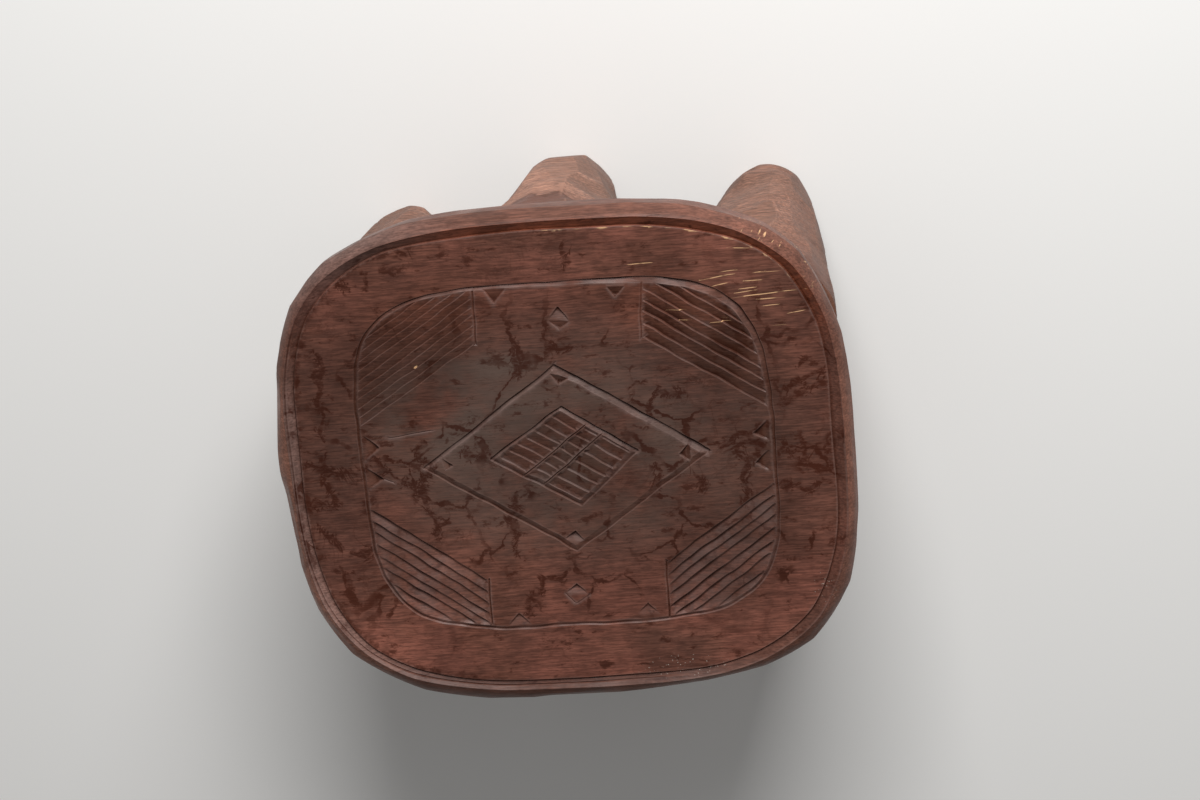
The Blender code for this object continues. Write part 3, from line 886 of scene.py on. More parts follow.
def adze_group():
    """Flat cuts all over a rounded shape: each cut shaves what stands proud of its plane, near its middle.

    The cuts are set out on a guide of the same shape, and each keeps a tone of its own, higher the more the
    cut leans up, which the legs' wood draws as painted light on the upward cuts as well as a change of grain.
    """
    tree, inputs, outputs = new_group(
        "adze cuts",
        "GeometryNodeTree",
        [
            ("Geometry", "NodeSocketGeometry", None),
            ("Guide", "NodeSocketGeometry", None),
            ("Weight", "NodeSocketFloat", 1.0),
            ("Cut Size", "NodeSocketFloat", 0.02),
            ("Reach", "NodeSocketFloat", 0.06),
            ("Tilt", "NodeSocketFloat", 0.04),
            ("Depth", "NodeSocketFloat", 0.001),
            ("Seed", "NodeSocketInt", 1),
        ],
        [("Geometry", "NodeSocketGeometry")],
    )
    weight, reach, seed = inputs["Weight"], inputs["Reach"], inputs["Seed"]
    scatter = {
        "Mesh": inputs["Guide"],
        "Selection": weight.maths("GREATER_THAN", 0.5),
        "Distance Min": inputs["Cut Size"],
        "Density Max": MOST_CUTS,
        "Seed": seed,
    }
    scatter = new_node(tree, "GeometryNodeDistributePointsOnFaces", scatter, distribute_method="POISSON")
    placed = wires_of(tree, scatter.outputs)
    limits = {0: (-1.0, -1.0, -1.0), 1: (1.0, 1.0, 1.0), "Seed": seed}
    lean = output_of(tree, "FunctionNodeRandomValue", limits, 0, data_type="FLOAT_VECTOR")
    limits = {2: LEAST_SUNK, 3: 1.0, "Seed": seed}
    share = output_of(tree, "FunctionNodeRandomValue", limits, 1, data_type="FLOAT")
    place = output_of(tree, "GeometryNodeInputPosition")
    facing = (placed["Normal"] + lean.scaled(inputs["Tilt"])).maths("NORMALIZE")
    middle = place - placed["Normal"].scaled(share * inputs["Depth"])
    # The tone follows the cut's upward lean: painted light on the cuts that face up
    tone = split(lean)[2].times_plus(0.5, 0.5)
    points = {0: placed["Points"]}
    count = output_of(tree, "GeometryNodeAttributeDomainSize", points, "Point Count", component="POINTCLOUD")
    start, end = tree.nodes.new("GeometryNodeRepeatInput"), tree.nodes.new("GeometryNodeRepeatOutput")
    start.pair_with_output(end)
    join(count, start.inputs["Iterations"])
    turn = wires_of(tree, start.outputs)

    def keep_tone(geometry, chosen, value):
        marked = {"Geometry": geometry, "Selection": chosen, "Name": "facet", "Value": value}
        return output_of(tree, "GeometryNodeStoreNamedAttribute", marked, data_type="FLOAT", domain="POINT")

    def of_cut(value, kind="FLOAT_VECTOR"):
        sample = {"Geometry": placed["Points"], "Value": value, "Index": turn["Iteration"]}
        return output_of(tree, "GeometryNodeSampleIndex", sample, data_type=kind, domain="POINT")

    join(keep_tone(inputs["Geometry"], True, UNCUT_TONE), start.inputs["Geometry"])
    cut_middle, cut_facing = of_cut(middle), of_cut(facing)
    fade = ramp(place.maths("DISTANCE", cut_middle), reach, reach * FULL_REACH)
    shaved = (place - cut_middle).maths("DOT_PRODUCT", cut_facing) * fade
    touched = shaved.maths("GREATER_THAN", 0.0)
    toned = keep_tone(turn["Geometry"], touched, of_cut(tone, "FLOAT"))
    moved = {"Geometry": toned, "Selection": touched, "Offset": cut_facing.scaled(shaved * weight * -1.0)}
    join(output_of(tree, "GeometryNodeSetPosition", moved), end.inputs["Geometry"])
    join(Wire(tree, end.outputs["Geometry"]), outputs["Geometry"])
    return tree


def clad(geometry, wood):
    """Real geometry in its wood."""
    real = output_of(geometry.tree, "GeometryNodeRealizeInstances", {0: geometry})
    return output_of(geometry.tree, "GeometryNodeSetMaterial", {"Geometry": real, "Material": wood})


# Points round and rows along the blank that the cuts are set out on, and along the one that is cut
LEG_MESHES = ((112, 84), (168, 132))
END_RINGS = 7

# Heights between which the flat foot gives way to hewn wood, and the unevenness left all over
OFF_FLOOR = (0.0002, 0.006)
TREMOR = 0.0005


def leg_tree(adze):
    """A tapered leg from its foot on the floor to its root in the seat, then hewn."""
    sizes = ("Root Radius", "Ankle Radius", "Foot Radius", "Foot Round", "Fullness", "Sunk", "Spare")
    tree, inputs, outputs = new_group(
        "hewn leg",
        "GeometryNodeTree",
        [("Geometry", "NodeSocketGeometry", None)]
        + [("Root", "NodeSocketVector", None), ("Foot", "NodeSocketVector", None)]
        + [(name, "NodeSocketFloat", None) for name in (*sizes, "Cut Size")]
        + [("Seed", "NodeSocketInt", 1), ("Wood", "NodeSocketMaterial", None)],
        [("Geometry", "NodeSocketGeometry")],
    )
    tree.is_modifier = True
    root_radius, ankle_radius, foot_radius, foot_round, *others = (inputs[name] for name in sizes)
    fullness, sunk, spare = others
    x, y, z = split(output_of(tree, "GeometryNodeInputPosition"))
    root_x, root_y, root_z = split(inputs["Root"])
    foot_x, foot_y, _ = split(inputs["Foot"])
    height = (z + 0.5) * (root_z + sunk)
    above = (height - foot_round).maths("DIVIDE", root_z - foot_round, use_clamp=True)
    taper = above.maths("POWER", fullness)
    under = height.maths("DIVIDE", foot_round, use_clamp=True).taken_from(1.0)
    round_share = (under * under).taken_from(1.0).maths("SQRT")
    radius = (ankle_radius - foot_radius).times_plus(round_share, foot_radius)
    radius = (root_radius - ankle_radius).times_plus(taper, radius)
    radius = radius + spare * round_share
    rise = height.maths("DIVIDE", root_z, use_clamp=True)
    middle_x = (root_x - foot_x).times_plus(rise, foot_x)
    middle_y = (root_y - foot_y).times_plus(rise, foot_y)
    shape = merge(x.times_plus(radius, middle_x), y.times_plus(radius, middle_y), height)

    def blank(around, along):
        counts = {"Vertices": around, "Side Segments": along, "Fill Segments": END_RINGS}
        unit = {**counts, "Radius": 1.0, "Depth": 1.0}
        cylinder = output_of(tree, "GeometryNodeMeshCylinder", unit, "Mesh", fill_type="TRIANGLE_FAN")
        return output_of(tree, "GeometryNodeSetPosition", {"Geometry": cylinder, "Position": shape})

    guide, shaped = (blank(*counts) for counts in LEG_MESHES)
    place = output_of(tree, "GeometryNodeInputPosition")
    off_floor = ramp(split(place)[2], *OFF_FLOOR)
    shapes = {"Geometry": shaped, "Guide": guide, "Weight": off_floor}
    cuts = {"Reach": LEG_REACH, "Tilt": LEG_TILT, "Depth": spare}
    cuts.update((name, inputs[name]) for name in ("Cut Size", "Seed"))
    (hewn,) = place_group(tree, adze, {**shapes, **cuts})
    tremor = (noise(place, 75.0, 2.0) - 0.5) * TREMOR * off_floor
    offset = output_of(tree, "GeometryNodeInputNormal").scaled(tremor)
    hewn = output_of(tree, "GeometryNodeSetPosition", {"Geometry": hewn, "Offset": offset})
    join(clad(hewn, inputs["Wood"]), outputs["Geometry"])
    return tree


def rim_tree(adze):
    """Adze cuts on the edge and underside of the seat, where its hewn attribute says so."""
    tree, inputs, outputs = new_group(
        "hewn rim",
        "GeometryNodeTree",
        [
            ("Geometry", "NodeSocketGeometry", None),
            ("Cut Size", "NodeSocketFloat", 0.03),
            ("Depth", "NodeSocketFloat", 0.001),
            ("Seed", "NodeSocketInt", 1),
            ("Wood", "NodeSocketMaterial", None),
        ],
        [("Geometry", "NodeSocketGeometry")],
    )
    tree.is_modifier = True
    wood = inputs.pop("Wood")
    weight = output_of(tree, "GeometryNodeInputNamedAttribute", {0: "hewn"}, data_type="FLOAT")
    cuts = {"Guide": inputs["Geometry"], "Weight": weight, "Reach": RIM_REACH, "Tilt": RIM_TILT}
    (hewn,) = place_group(tree, adze, {**inputs, **cuts})
    join(clad(hewn, wood), outputs["Geometry"])
    return tree


def tree_named(name, maker):
    """A Geometry Nodes tree, with the adze cuts that it shares, made the first time it is asked for."""
    if "adze cuts" not in bpy.data.node_groups:
        adze_group()
    return bpy.data.node_groups.get(name) or maker(bpy.data.node_groups["adze cuts"])


def plain_mesh(name, mesh, tree, values):
    """The mesh that a Geometry Nodes tree makes with these values, on its own object at the origin."""
    piece = bpy.data.objects.new(name, mesh)
    bpy.context.scene.collection.objects.link(piece)
    modifier = piece.modifiers.new(tree.name, "NODES")
    modifier.node_group = tree
    sockets = {item.name: item.identifier for item in tree.interface.items_tree if item.in_out == "INPUT"}
    for label, value in values.items():
        modifier[sockets[label]] = value
    bpy.context.view_layer.update()
    made = bpy.data.meshes.new_from_object(piece.evaluated_get(bpy.context.evaluated_depsgraph_get()))
    piece.modifiers.clear()
    piece.data = made
    made.name = name
    return piece


def mark_edges(mesh, sharp_angle, full_angle):
    """Stores how sharply each point stands out or lies in a fold, and shades across all softer edges."""
    folded = bmesh.new()
    folded.from_mesh(mesh)
    ridge = np.zeros(len(mesh.vertices), np.float32)
    valley = np.zeros(len(mesh.vertices), np.float32)
    for edge in folded.edges:
        angle = edge.calc_face_angle_signed(0.0) / full_angle
        for vertex in edge.verts:
            ridge[vertex.index] = max(ridge[vertex.index], min(angle, 1.0))
            valley[vertex.index] = max(valley[vertex.index], min(-angle, 1.0))
    folded.free()
    for name, values in (("ridge", ridge), ("valley", valley)):
        store(mesh, name, values)
    mesh.shade_smooth()
    mesh.set_sharp_from_angle(angle=sharp_angle)


def store(mesh, name, values):
    mesh.attributes.new(name, "FLOAT", "POINT").data.foreach_set("value", np.asarray(values, np.float32))


def mark_end_grain(mesh):
    """Stores how squarely each point faces along the fibres, which run along X."""
    facing = np.empty(3 * len(mesh.vertices), np.float32)
    mesh.vertices.foreach_get("normal", facing)
    store(mesh, "end_grain", np.abs(facing[::3]))


def dress(piece, node):
    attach(piece, "root")
    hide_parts(node)


# Seat


def outline_reach(turn, half_length, half_width, power):
    x, y = np.cos(turn), np.sin(turn)
    return (np.abs(x / half_length) ** power + np.abs(y / half_width) ** power) ** (-1 / power)


# How far the hewn corners stray, as a share of the step between them, and the turn of the first
CORNER_STRAY = 0.32
FIRST_CORNER = 0.4


def hewn_reach(turn, half_length, half_width, shape, seed, share):
    """The rounded outline, drawn towards flats between uneven corners."""
    draws = np.random.default_rng(seed)
    count = shape.hewn_corners
    stray = draws.uniform(-CORNER_STRAY, CORNER_STRAY, count)
    corner = (np.arange(count) + stray) * math.tau / count + FIRST_CORNER
    corner = np.append(corner, corner[0] + math.tau)
    reach = outline_reach(corner, half_length, half_width, shape.outline_power)
    turned = (turn - corner[0]) % math.tau + corner[0]
    index = np.clip(np.searchsorted(corner, turned, side="right") - 1, 0, count - 1)
    before, after = corner[index], corner[index + 1]
    near_end, far_end = reach[index], reach[index + 1]
    flat = near_end * far_end * np.sin(after - before)
    flat = flat / (near_end * np.sin(turned - before) + far_end * np.sin(after - turned))
    even = outline_reach(turn, half_length, half_width, shape.outline_power)
    return even + share * (flat - even)


WAVE_COUNT = 9
SHORTEST_STRETCH = 0.6
LONGEST_STRETCH = 1.5


def waves(x, y, size, length, seed):
    """Smooth, seeded unevenness of about this size and wavelength."""
    draws = np.random.default_rng(seed)
    total = np.zeros_like(x)
    low, high = (0, SHORTEST_STRETCH, 0), (math.tau, LONGEST_STRETCH, math.tau)
    for turn, stretch, phase in draws.uniform(low, high, (WAVE_COUNT, 3)):
        run = x * math.cos(turn) + y * math.sin(turn)
        total = total + np.sin(run * math.tau * stretch / length + phase)
    return size * (total / math.sqrt(WAVE_COUNT))


def seat_ring(shape, turn, inset_ends, inset_sides, shift, z, seed, share):
    reach = hewn_reach(turn, HALF_LENGTH - inset_ends, HALF_WIDTH - inset_sides, shape, seed, share)
    x, y = reach * np.cos(turn), reach * np.sin(turn)
    x += np.where(x < 0, -shape.left_spread, shape.right_spread) * (x / HALF_LENGTH) ** 2
    y += np.where(y < 0, -shape.front_spread, 0.0) * (y / HALF_WIDTH) ** 2
    return np.stack([x, y + shift, np.full_like(x, z)], axis=1)


def blend_rings(first, last, across, up):
    """A ring part of the way between two others: across for its place, up for its height."""
    ring = first + (last - first) * across
    ring[:, 2] = first[:, 2] + (last[:, 2] - first[:, 2]) * up
    return ring


# Seeds of the hewn corners on the three main rings, and how much of their flatness the crest keeps
UNDER_SEED = 5
WIDEST_SEED = 8
CREST_SEED = 13
CREST_HEWN = 0.4

# Rings under the seat as shares of its outline, and up the wall as shares of the way, with how straight it is
UNDER_SCALES = np.linspace(0.06, 0.97, 26)
UNDER_HOLLOW = 0.0012
LOWER_WALL = np.linspace(0.0, 1.0, 9)
LOWER_STRAIGHT = 0.5
UPPER_WALL = np.linspace(0.12, 0.93, 9)
UPPER_STRAIGHT = 0.6

# Inside the crest: the rings down to the field, the curve of the lip and the step up from its foot
RINGS_INSIDE_CREST = 7
LIP_CURVE = 0.9
STEP_ACROSS = 0.6
STEP_UP = 0.7

# Where the wall swells at the left and is hewn back at the front, and the line scored on the lip
BULGE_Y = 0.006
BULGE_HALF = 0.036
PULL_X = 0.095
PULL_HALF = 0.075
SEAM_START = math.radians(146)
SEAM_END = math.radians(292)
SEAM_TURNS = np.radians((195, 240))
SEAM_PLACES = (0.16, 0.52)
SEAM_HALF = 0.11
SEAM_FADE = 0.3


def seam_share(turn):
    """How much of the scored line on the lip there is at each turn."""
    return np.clip(np.minimum(turn - SEAM_START, SEAM_END - turn) / SEAM_FADE, 0, 1)


def rim_rings(shape, turn):
    """Rings from the middle of the underside, round the edge, over the crest and down to the field."""
    share = shape.hewn_share
    inset = shape.under_inset
    under = seat_ring(shape, turn, inset, inset, 0.0, UNDERSIDE_Z, UNDER_SEED, share)
    widest = seat_ring(shape, turn, 0.0, 0.0, 0.0, CREST_Z - shape.bulge_drop, WIDEST_SEED, share)
    insets = (shape.crest_inset_ends, shape.crest_inset_sides)
    crest = seat_ring(shape, turn, *insets, shape.crest_shift, CREST_Z, CREST_SEED, share * CREST_HEWN)
    for ring in (under, widest):
        swell = np.exp(-(((ring[:, 1] - BULGE_Y) / BULGE_HALF) ** 2))
        ring[:, 0] -= shape.left_bulge * swell * (ring[:, 0] < 0)
        pulled = np.exp(-(((ring[:, 0] - PULL_X) / PULL_HALF) ** 2))
        ring[:, 1] += shape.front_pull * pulled * np.clip(-ring[:, 1] / HALF_WIDTH, 0, 1) ** 2
    crest[:, 1] -= shape.crest_front * np.clip(-crest[:, 1] / HALF_WIDTH, 0, 1) ** 2
    lip_foot = shape.lip_width + waves(crest[:, 0], crest[:, 1], *LIP_WAVES)
    lip = inward(shape, crest, lip_foot, CREST_Z - shape.lip_depth)
    edge = inward(shape, crest, lip_foot + shape.step_width, CREST_Z - shape.field_depth)
    crest[:, 2] += waves(crest[:, 0], crest[:, 1], *CREST_WAVES) - CREST_WAVES[0]
    rings = []
    for scale in UNDER_SCALES:
        ring = under * (scale, scale, 1.0)
        ring[:, 2] += UNDER_HOLLOW + waves(ring[:, 0], ring[:, 1], *UNDER_WAVES)
        rings.append(ring)
    for part in LOWER_WALL:
        bend = LOWER_STRAIGHT * part + (1 - LOWER_STRAIGHT) * math.sin(part * math.pi / 2)
        rings.append(blend_rings(under, widest, bend, 1 - math.cos(part * math.pi / 2)))
    for part in UPPER_WALL:
        bend = UPPER_STRAIGHT * part + (1 - UPPER_STRAIGHT) * (1 - math.cos(part * math.pi / 2))
        rise = UPPER_STRAIGHT * part + (1 - UPPER_STRAIGHT) * math.sin(part * math.pi / 2)
        rings.append(blend_rings(widest, crest, bend, rise))
    rings.append(crest)
    seam = np.interp(turn, SEAM_TURNS, SEAM_PLACES)
    for part in (seam - SEAM_HALF, seam, seam + SEAM_HALF, 0.5 * (1 + seam)):
        rings.append(blend_rings(crest, lip, part[:, None], part**LIP_CURVE))
    # The third ring from the end is the middle of the scored line
    rings[-3][:, 2] -= shape.seam_depth * seam_share(turn)
    return [*rings, lip, blend_rings(lip, edge, STEP_ACROSS, STEP_UP), edge]


def inward(shape, ring, distance, z):
    """The ring moved towards the middle of the crest by a distance."""
    middle = np.array((0.0, shape.crest_shift))
    offset = ring[:, :2] - middle
    length = np.linalg.norm(offset, axis=1)
    place = middle + offset * (1 - distance / length)[:, None]
    return np.column_stack([place, np.full(len(ring), z)])


def v_cut(outward, steep, gentle, depth):
    """Depth of a groove with a steep outer and a gentle inner side, at a place outward from its bottom."""
    return depth * np.clip(np.minimum(1 - outward / steep, 1 + outward / gentle), 0, 1)


LEAST_RATIO = 1e-6


def border_offset(points, carving):
    """Distance of each point outside the border, and the turn at which it lies."""
    half = np.array((carving.border_length, carving.border_width)) / 2
    power = carving.border_power
    ratio = np.maximum(np.abs(points) / half, LEAST_RATIO)
    size = (ratio**power).sum(axis=1) ** (1 / power)
    slope = (ratio ** (power - 1) / half) * (size ** (1 - power))[:, None]
    return (size - 1) / np.linalg.norm(slope, axis=1), np.arctan2(points[:, 1], points[:, 0])


# Widths of the border's steep wall and gentle slope, and how much and over what turn the slope widens
BORDER_STEEP = 0.0009
BORDER_GENTLE = 0.0020
BORDER_WIDENS = 0.0028
WIDEST_TURN = math.radians(46)
WIDENED_HALF = 0.5

# How deep the border is cut, as a share, at turns right round it
BORDER_TURNS = np.radians((-180, -135, -90, -45, 0, 46, 90, 135, 180))
BORDER_SHARES = (0.56, 0.66, 0.50, 0.45, 0.55, 1.0, 0.58, 0.56, 0.56)


def border_gentle(turn):
    """The inner slope of the border is widest at the upper right."""
    return BORDER_GENTLE + BORDER_WIDENS * np.exp(-(((turn - WIDEST_TURN) / WIDENED_HALF) ** 2))


def side_frames(corners):
    """Start, direction, length and outward normal of each side of a four-cornered outline, clockwise."""
    for start, end in zip(corners, corners[1:] + corners[:1]):
        start, end = np.array(start), np.array(end)
        length = np.linalg.norm(end - start)
        along = (end - start) / length
        yield start, along, length, np.array((-along[1], along[0]))


def outline_cut(points, corners, cuts):
    depth = np.zeros(len(points))
    for (start, along, length, normal), (steep, gentle, deep) in zip(side_frames(corners), cuts):
        offset = points - start
        run = offset @ along
        inside = np.clip(np.minimum(run + steep, length + steep - run) / steep, 0, 1)
        depth = np.maximum(depth, v_cut(offset @ normal, steep, gentle, deep) * inside)
    return depth


SEARCH_STEPS = 6


def panel_point(u, v):
    """The place u of the way from the panel's top to its right corner and v of the way to its left one."""
    top, right, bottom, left = (np.array(corner) for corner in PANEL)
    return top + u * (right - top) + v * (left - top) + u * v * (top - right - left + bottom)


def panel_place(points):
    """Where each point lies in the panel, as u and v, found step by step."""
    top, right, bottom, left = (np.array(corner) for corner in PANEL)
    place = np.full((len(points), 2), 0.5)
    for _ in range(SEARCH_STEPS):
        u, v = place[:, :1], place[:, 1:]
        miss = panel_point(u, v) - points
        by_u = (right - top) + v * (top - right - left + bottom)
        by_v = (left - top) + u * (top - right - left + bottom)
        area = by_u[:, 0] * by_v[:, 1] - by_u[:, 1] * by_v[:, 0]
        place[:, 0] -= (miss[:, 0] * by_v[:, 1] - miss[:, 1] * by_v[:, 0]) / area
        place[:, 1] -= (by_u[:, 0] * miss[:, 1] - by_u[:, 1] * miss[:, 0]) / area
        place = np.clip(place, -1.0, 2.0)
    return place[:, 0], place[:, 1]


# In shares of a row: its steep wall, a crease beside it, and its least depth
ROW_WALL = 0.12
ROW_CRISP = 0.07
ROW_FLOOR = 0.15

# In shares of the panel
ROW_FADE = 0.02
COLUMN_FADE = 0.01
COLUMN_HALF = 0.011
PANEL_EDGE = 0.03
PANEL_MARGIN = 0.05

COLUMN_DEPTH = 0.0011


def panel_strips():
    """Left and right end of each strip, with its rows and their shift."""
    ends = (PANEL_EDGE, *PANEL_COLUMNS, 1 - PANEL_EDGE)
    for left, right, (rows, shift) in zip(ends, ends[1:], PANEL_STRIPS):
        yield left + COLUMN_HALF, right - COLUMN_HALF, rows, shift


def panel_cut(points, carving):
    """Rows of sloping cuts across the panel, parted by two columns."""
    u, v = panel_place(points)
    within = (u > 0) & (u < 1) & (v > 0) & (v < 1)
    depth = np.zeros(len(points))
    for left, right, rows, shift in panel_strips():
        share = (v * rows + shift) % 1.0
        saw = np.where(share < 1 - ROW_WALL, share / (1 - ROW_WALL), (1 - share) / ROW_WALL)
        ends = np.clip(np.minimum(u - left, right - u) / ROW_FADE, 0, 1)
        sides = np.clip((np.minimum(v, 1 - v) - PANEL_MARGIN) / PANEL_MARGIN, 0, 1)
        level = ROW_FLOOR + (1 - ROW_FLOOR) * saw
        depth = np.maximum(depth, carving.row_depth * level * ends * sides)
    for column in PANEL_COLUMNS:
        groove = np.clip(1 - np.abs(u - column) / COLUMN_HALF, 0, 1)
        ends = np.clip((v - PANEL_MARGIN) / COLUMN_FADE, 0, 1)
        depth = np.maximum(depth, COLUMN_DEPTH * groove * ends)
    return depth * within


# Hatch lines in a corner after the first, how far they stray, as a share, and the range of their depths
HATCH_COUNT = 13
HATCH_STRAY = 0.12
HATCH_DEPTHS = (0.8, 1.15)
HATCH_SEED = 40


def hatch_lines(carving, corner):
    """Distance of each hatch line from the first, a little uneven, and how deep it is cut."""
    draws = np.random.default_rng(HATCH_SEED + corner)
    stray = 1 + draws.uniform(-HATCH_STRAY, HATCH_STRAY, HATCH_COUNT)
    places = np.concatenate([[0.0], np.cumsum(carving.hatch_pitch * HATCH_FINENESS[corner] * stray)])
    pressure = draws.uniform(*HATCH_DEPTHS, HATCH_COUNT + 1)
    return places, carving.hatch_depth * HATCH_FIRMNESS[corner] * pressure


# The stop line's two slopes and its margin, and the gap, fade and curve at the ends of the hatch lines
STOP_INNER = 0.0007
STOP_OUTER = STOP_INNER * 1.4
STOP_MARGIN = 0.001
HATCH_GAP = 0.0012
HATCH_FADE = 0.0030
HATCH_CURVE = 0.6


def square_to(along, side):
    """The direction square to another that points to the side of a given vector."""
    normal = np.array((-along[1], along[0]))
    return normal if normal @ side > 0 else -normal


def hatch_frame(corner):
    """Start, direction and outward normal of a corner's first hatch line, then the last two for its stop."""
    start, end, top = (np.array(place) for place in HATCH_CORNERS[corner])
    along = (end - start) / np.linalg.norm(end - start)
    stop = (top - start) / np.linalg.norm(top - start)
    return start, along, square_to(along, start), stop, square_to(stop, along)


def hatch_cut(points, carving, outside, gentle):
    """Sloping bands in the four corners, inside the border and beyond the stop lines."""
    total = np.zeros(len(points))
    for corner in range(len(HATCH_CORNERS)):
        start, _, normal, _, beyond = hatch_frame(corner)
        away = (points - start) @ normal
        past_stop = (points - start) @ beyond
        upward = points[:, 1] * start[1] > 0
        places, depths = hatch_lines(carving, corner)
        band = np.clip(np.searchsorted(places, away, side="right") - 1, 0, len(places) - 2)
        step = away - places[band]
        width = places[band + 1] - places[band]
        wall = HATCH_WALLS[corner]
        saw = np.minimum(step / wall, (width - step) / (width - wall))
        ends = np.clip((past_stop - HATCH_GAP) / HATCH_FADE, 0, 1) ** HATCH_CURVE
        ends = ends * np.clip((-outside - gentle) / HATCH_FADE, 0, 1) ** HATCH_CURVE
        depth = depths[band] * np.clip(saw, 0, 1) * ends
        hatched = (away > 0) & (away < places[-1]) & upward & (past_stop > 0)
        total = np.maximum(total, np.where(hatched, depth, 0.0))
        stop = v_cut(past_stop, STOP_OUTER, STOP_INNER, STOP_DEPTHS[corner])
        stopped = (away > -STOP_MARGIN) & upward & (outside < -STOP_MARGIN)
        total = np.maximum(total, np.where(stopped, stop, 0.0))
    return total


CHIP_WALL_SLOPE = 1.9


def chip_cut(points, carving):
    """Chips that slope from one edge down to a deep tip between two steep walls."""
    total = np.zeros(len(points))
    for tip, left, right in CHIPS:
        tip, left, right = np.array(tip), np.array(left), np.array(right)
        base, arm = right - left, tip - left
        area = base[0] * arm[1] - base[1] * arm[0]
        offset = points - left
        to_tip = (base[0] * offset[:, 1] - base[1] * offset[:, 0]) / area
        to_right = (offset[:, 0] * arm[1] - offset[:, 1] * arm[0]) / area
        to_left = 1 - to_tip - to_right
        from_left_side = to_right * abs(area) / np.linalg.norm(arm)
        from_right_side = to_left * abs(area) / np.linalg.norm(tip - right)
        wall = CHIP_WALL_SLOPE * np.minimum(from_left_side, from_right_side)
        total = np.maximum(total, np.clip(np.minimum(to_tip * carving.chip_depth, wall), 0, None))
    return total


def line_distance(points, start, end):
    """Distance of each point from the line, and its share of the way along."""
    start, end = np.array(start), np.array(end)
    along = end - start
    share = (points - start) @ along / (along @ along)
    nearest = start + np.clip(share, 0, 1)[:, None] * along
    return np.linalg.norm(points - nearest, axis=1), share


SCRIBE_HALF = 0.0007
SCRIBE_DEPTH = 0.0004

# A scratch's soft edge, and in shares how narrow it gets and how far past its ends it counts
SCRATCH_EDGE = 0.00025
SCRATCH_LEAST = 0.02
SCRATCH_PAST = 0.01


def scratch_half(share, width):
    """Half the width of a scratch, which is widest half way along."""
    return width / 2 * np.sqrt(np.clip(1 - (2 * share - 1) ** 2, SCRATCH_LEAST, 1))


def scratch_mask(points):
    bare = np.zeros(len(points))
    for start, end, width in SCRATCHES:
        distance, share = line_distance(points, start, end)
        inside = 1 - (distance - scratch_half(share, width)) / SCRATCH_EDGE
        along = (share > -SCRATCH_PAST) & (share < 1 + SCRATCH_PAST)
        bare = np.maximum(bare, np.where(along, np.clip(inside, 0, 1), 0))
    return bare


def stain_mask(points):
    """How near each point is to the middle of a stain."""
    soaked = np.zeros(len(points))
    x, y = points.T
    points = points + np.stack([waves(x, y, *sizes) for sizes in STAIN_WAVES], axis=1)
    for path in STAINS:
        for start, end in zip(path, path[1:]):
            distance, _ = line_distance(points, start, end)
            soaked = np.maximum(soaked, 1 - distance / STAIN_HALF)
    return soaked


# Where the field's edge is rubbed, in degrees, with its fade, its most and the level of its dashes
RUBBED_START = 28
RUBBED_END = 98
RUBBED_FADE = 10
RUBBED_MOST = 0.95
DASH_LEVEL = 0.68


def golden_edge(x, y):
    """Where the stain is rubbed off the edge of the field: along its back right."""
    turn = np.degrees(np.arctan2(y, x))
    dashes = np.clip(DASH_LEVEL + waves(x, y, *DASH_WAVES), 0, 1)
    return np.clip(np.minimum(turn - RUBBED_START, RUBBED_END - turn) / RUBBED_FADE, 0, RUBBED_MOST) * dashes


# Least and most of the depth that a hand's uneven pressure gives a cut
PRESSURE = (0.55, 1.3)


def carved_depth(points, carving):
    """How deep the field is cut at each place."""
    outside, turn = border_offset(points, carving)
    border_depth = carving.border_depth * np.interp(turn, BORDER_TURNS, BORDER_SHARES)
    gentle = border_gentle(turn)
    depths = [
        v_cut(outside, BORDER_STEEP, gentle, border_depth),
        outline_cut(points, DIAMOND, DIAMOND_CUTS),
        outline_cut(points, PANEL, PANEL_CUTS),
        panel_cut(points, carving),
        hatch_cut(points, carving, outside, gentle),
        chip_cut(points, carving),
    ]
    for start, end in SCRIBES:
        distance, _ = line_distance(points, start, end)
        depths.append(SCRIBE_DEPTH * np.clip(1 - distance / SCRIBE_HALF, 0, 1))
    return np.max(depths, axis=0) * np.clip(1 + waves(*points.T, *DEPTH_WAVES), *PRESSURE)


# Step over which a slope is measured, the slope that gets the full painted sheen, and the one too steep for
# that
FACING_STEP = 0.0004
FULL_FACING = 0.34
STEEP_FACING = 1.1
STEEP_PALE = 0.5


def facing_back(points, carving, depth):
    """How steeply the cut surface faces the back at each place, which sets the painted sheen on the cuts."""
    step = np.array((0.0, FACING_STEP))
    further = carved_depth(points + step, carving) - depth
    nearer = depth - carved_depth(points - step, carving)
    slope = np.maximum(further, nearer) / FACING_STEP
    return np.where(slope > STEEP_FACING, STEEP_PALE, np.clip(slope / FULL_FACING, 0, 1))


# Distances between points along creases, and the spare crease beside a steep wall
CREASE_STEP = 0.0018
HATCH_STEP = 0.0016
CHIP_STEP = 0.0009
SCRIBE_STEP = 0.0015
SCRATCH_STEP = 0.002
CRISP_EDGE = 0.0005

# Points of the grid between the creases: their spacing and clearance, their seed, and as shares of the
# spacing their stray and the distance between rows
GRID_SPACING = 0.0026
GRID_CLEARANCE = 0.0011
GRID_SEED = 77
GRID_STRAY = 0.15
GRID_ROWS = 0.87


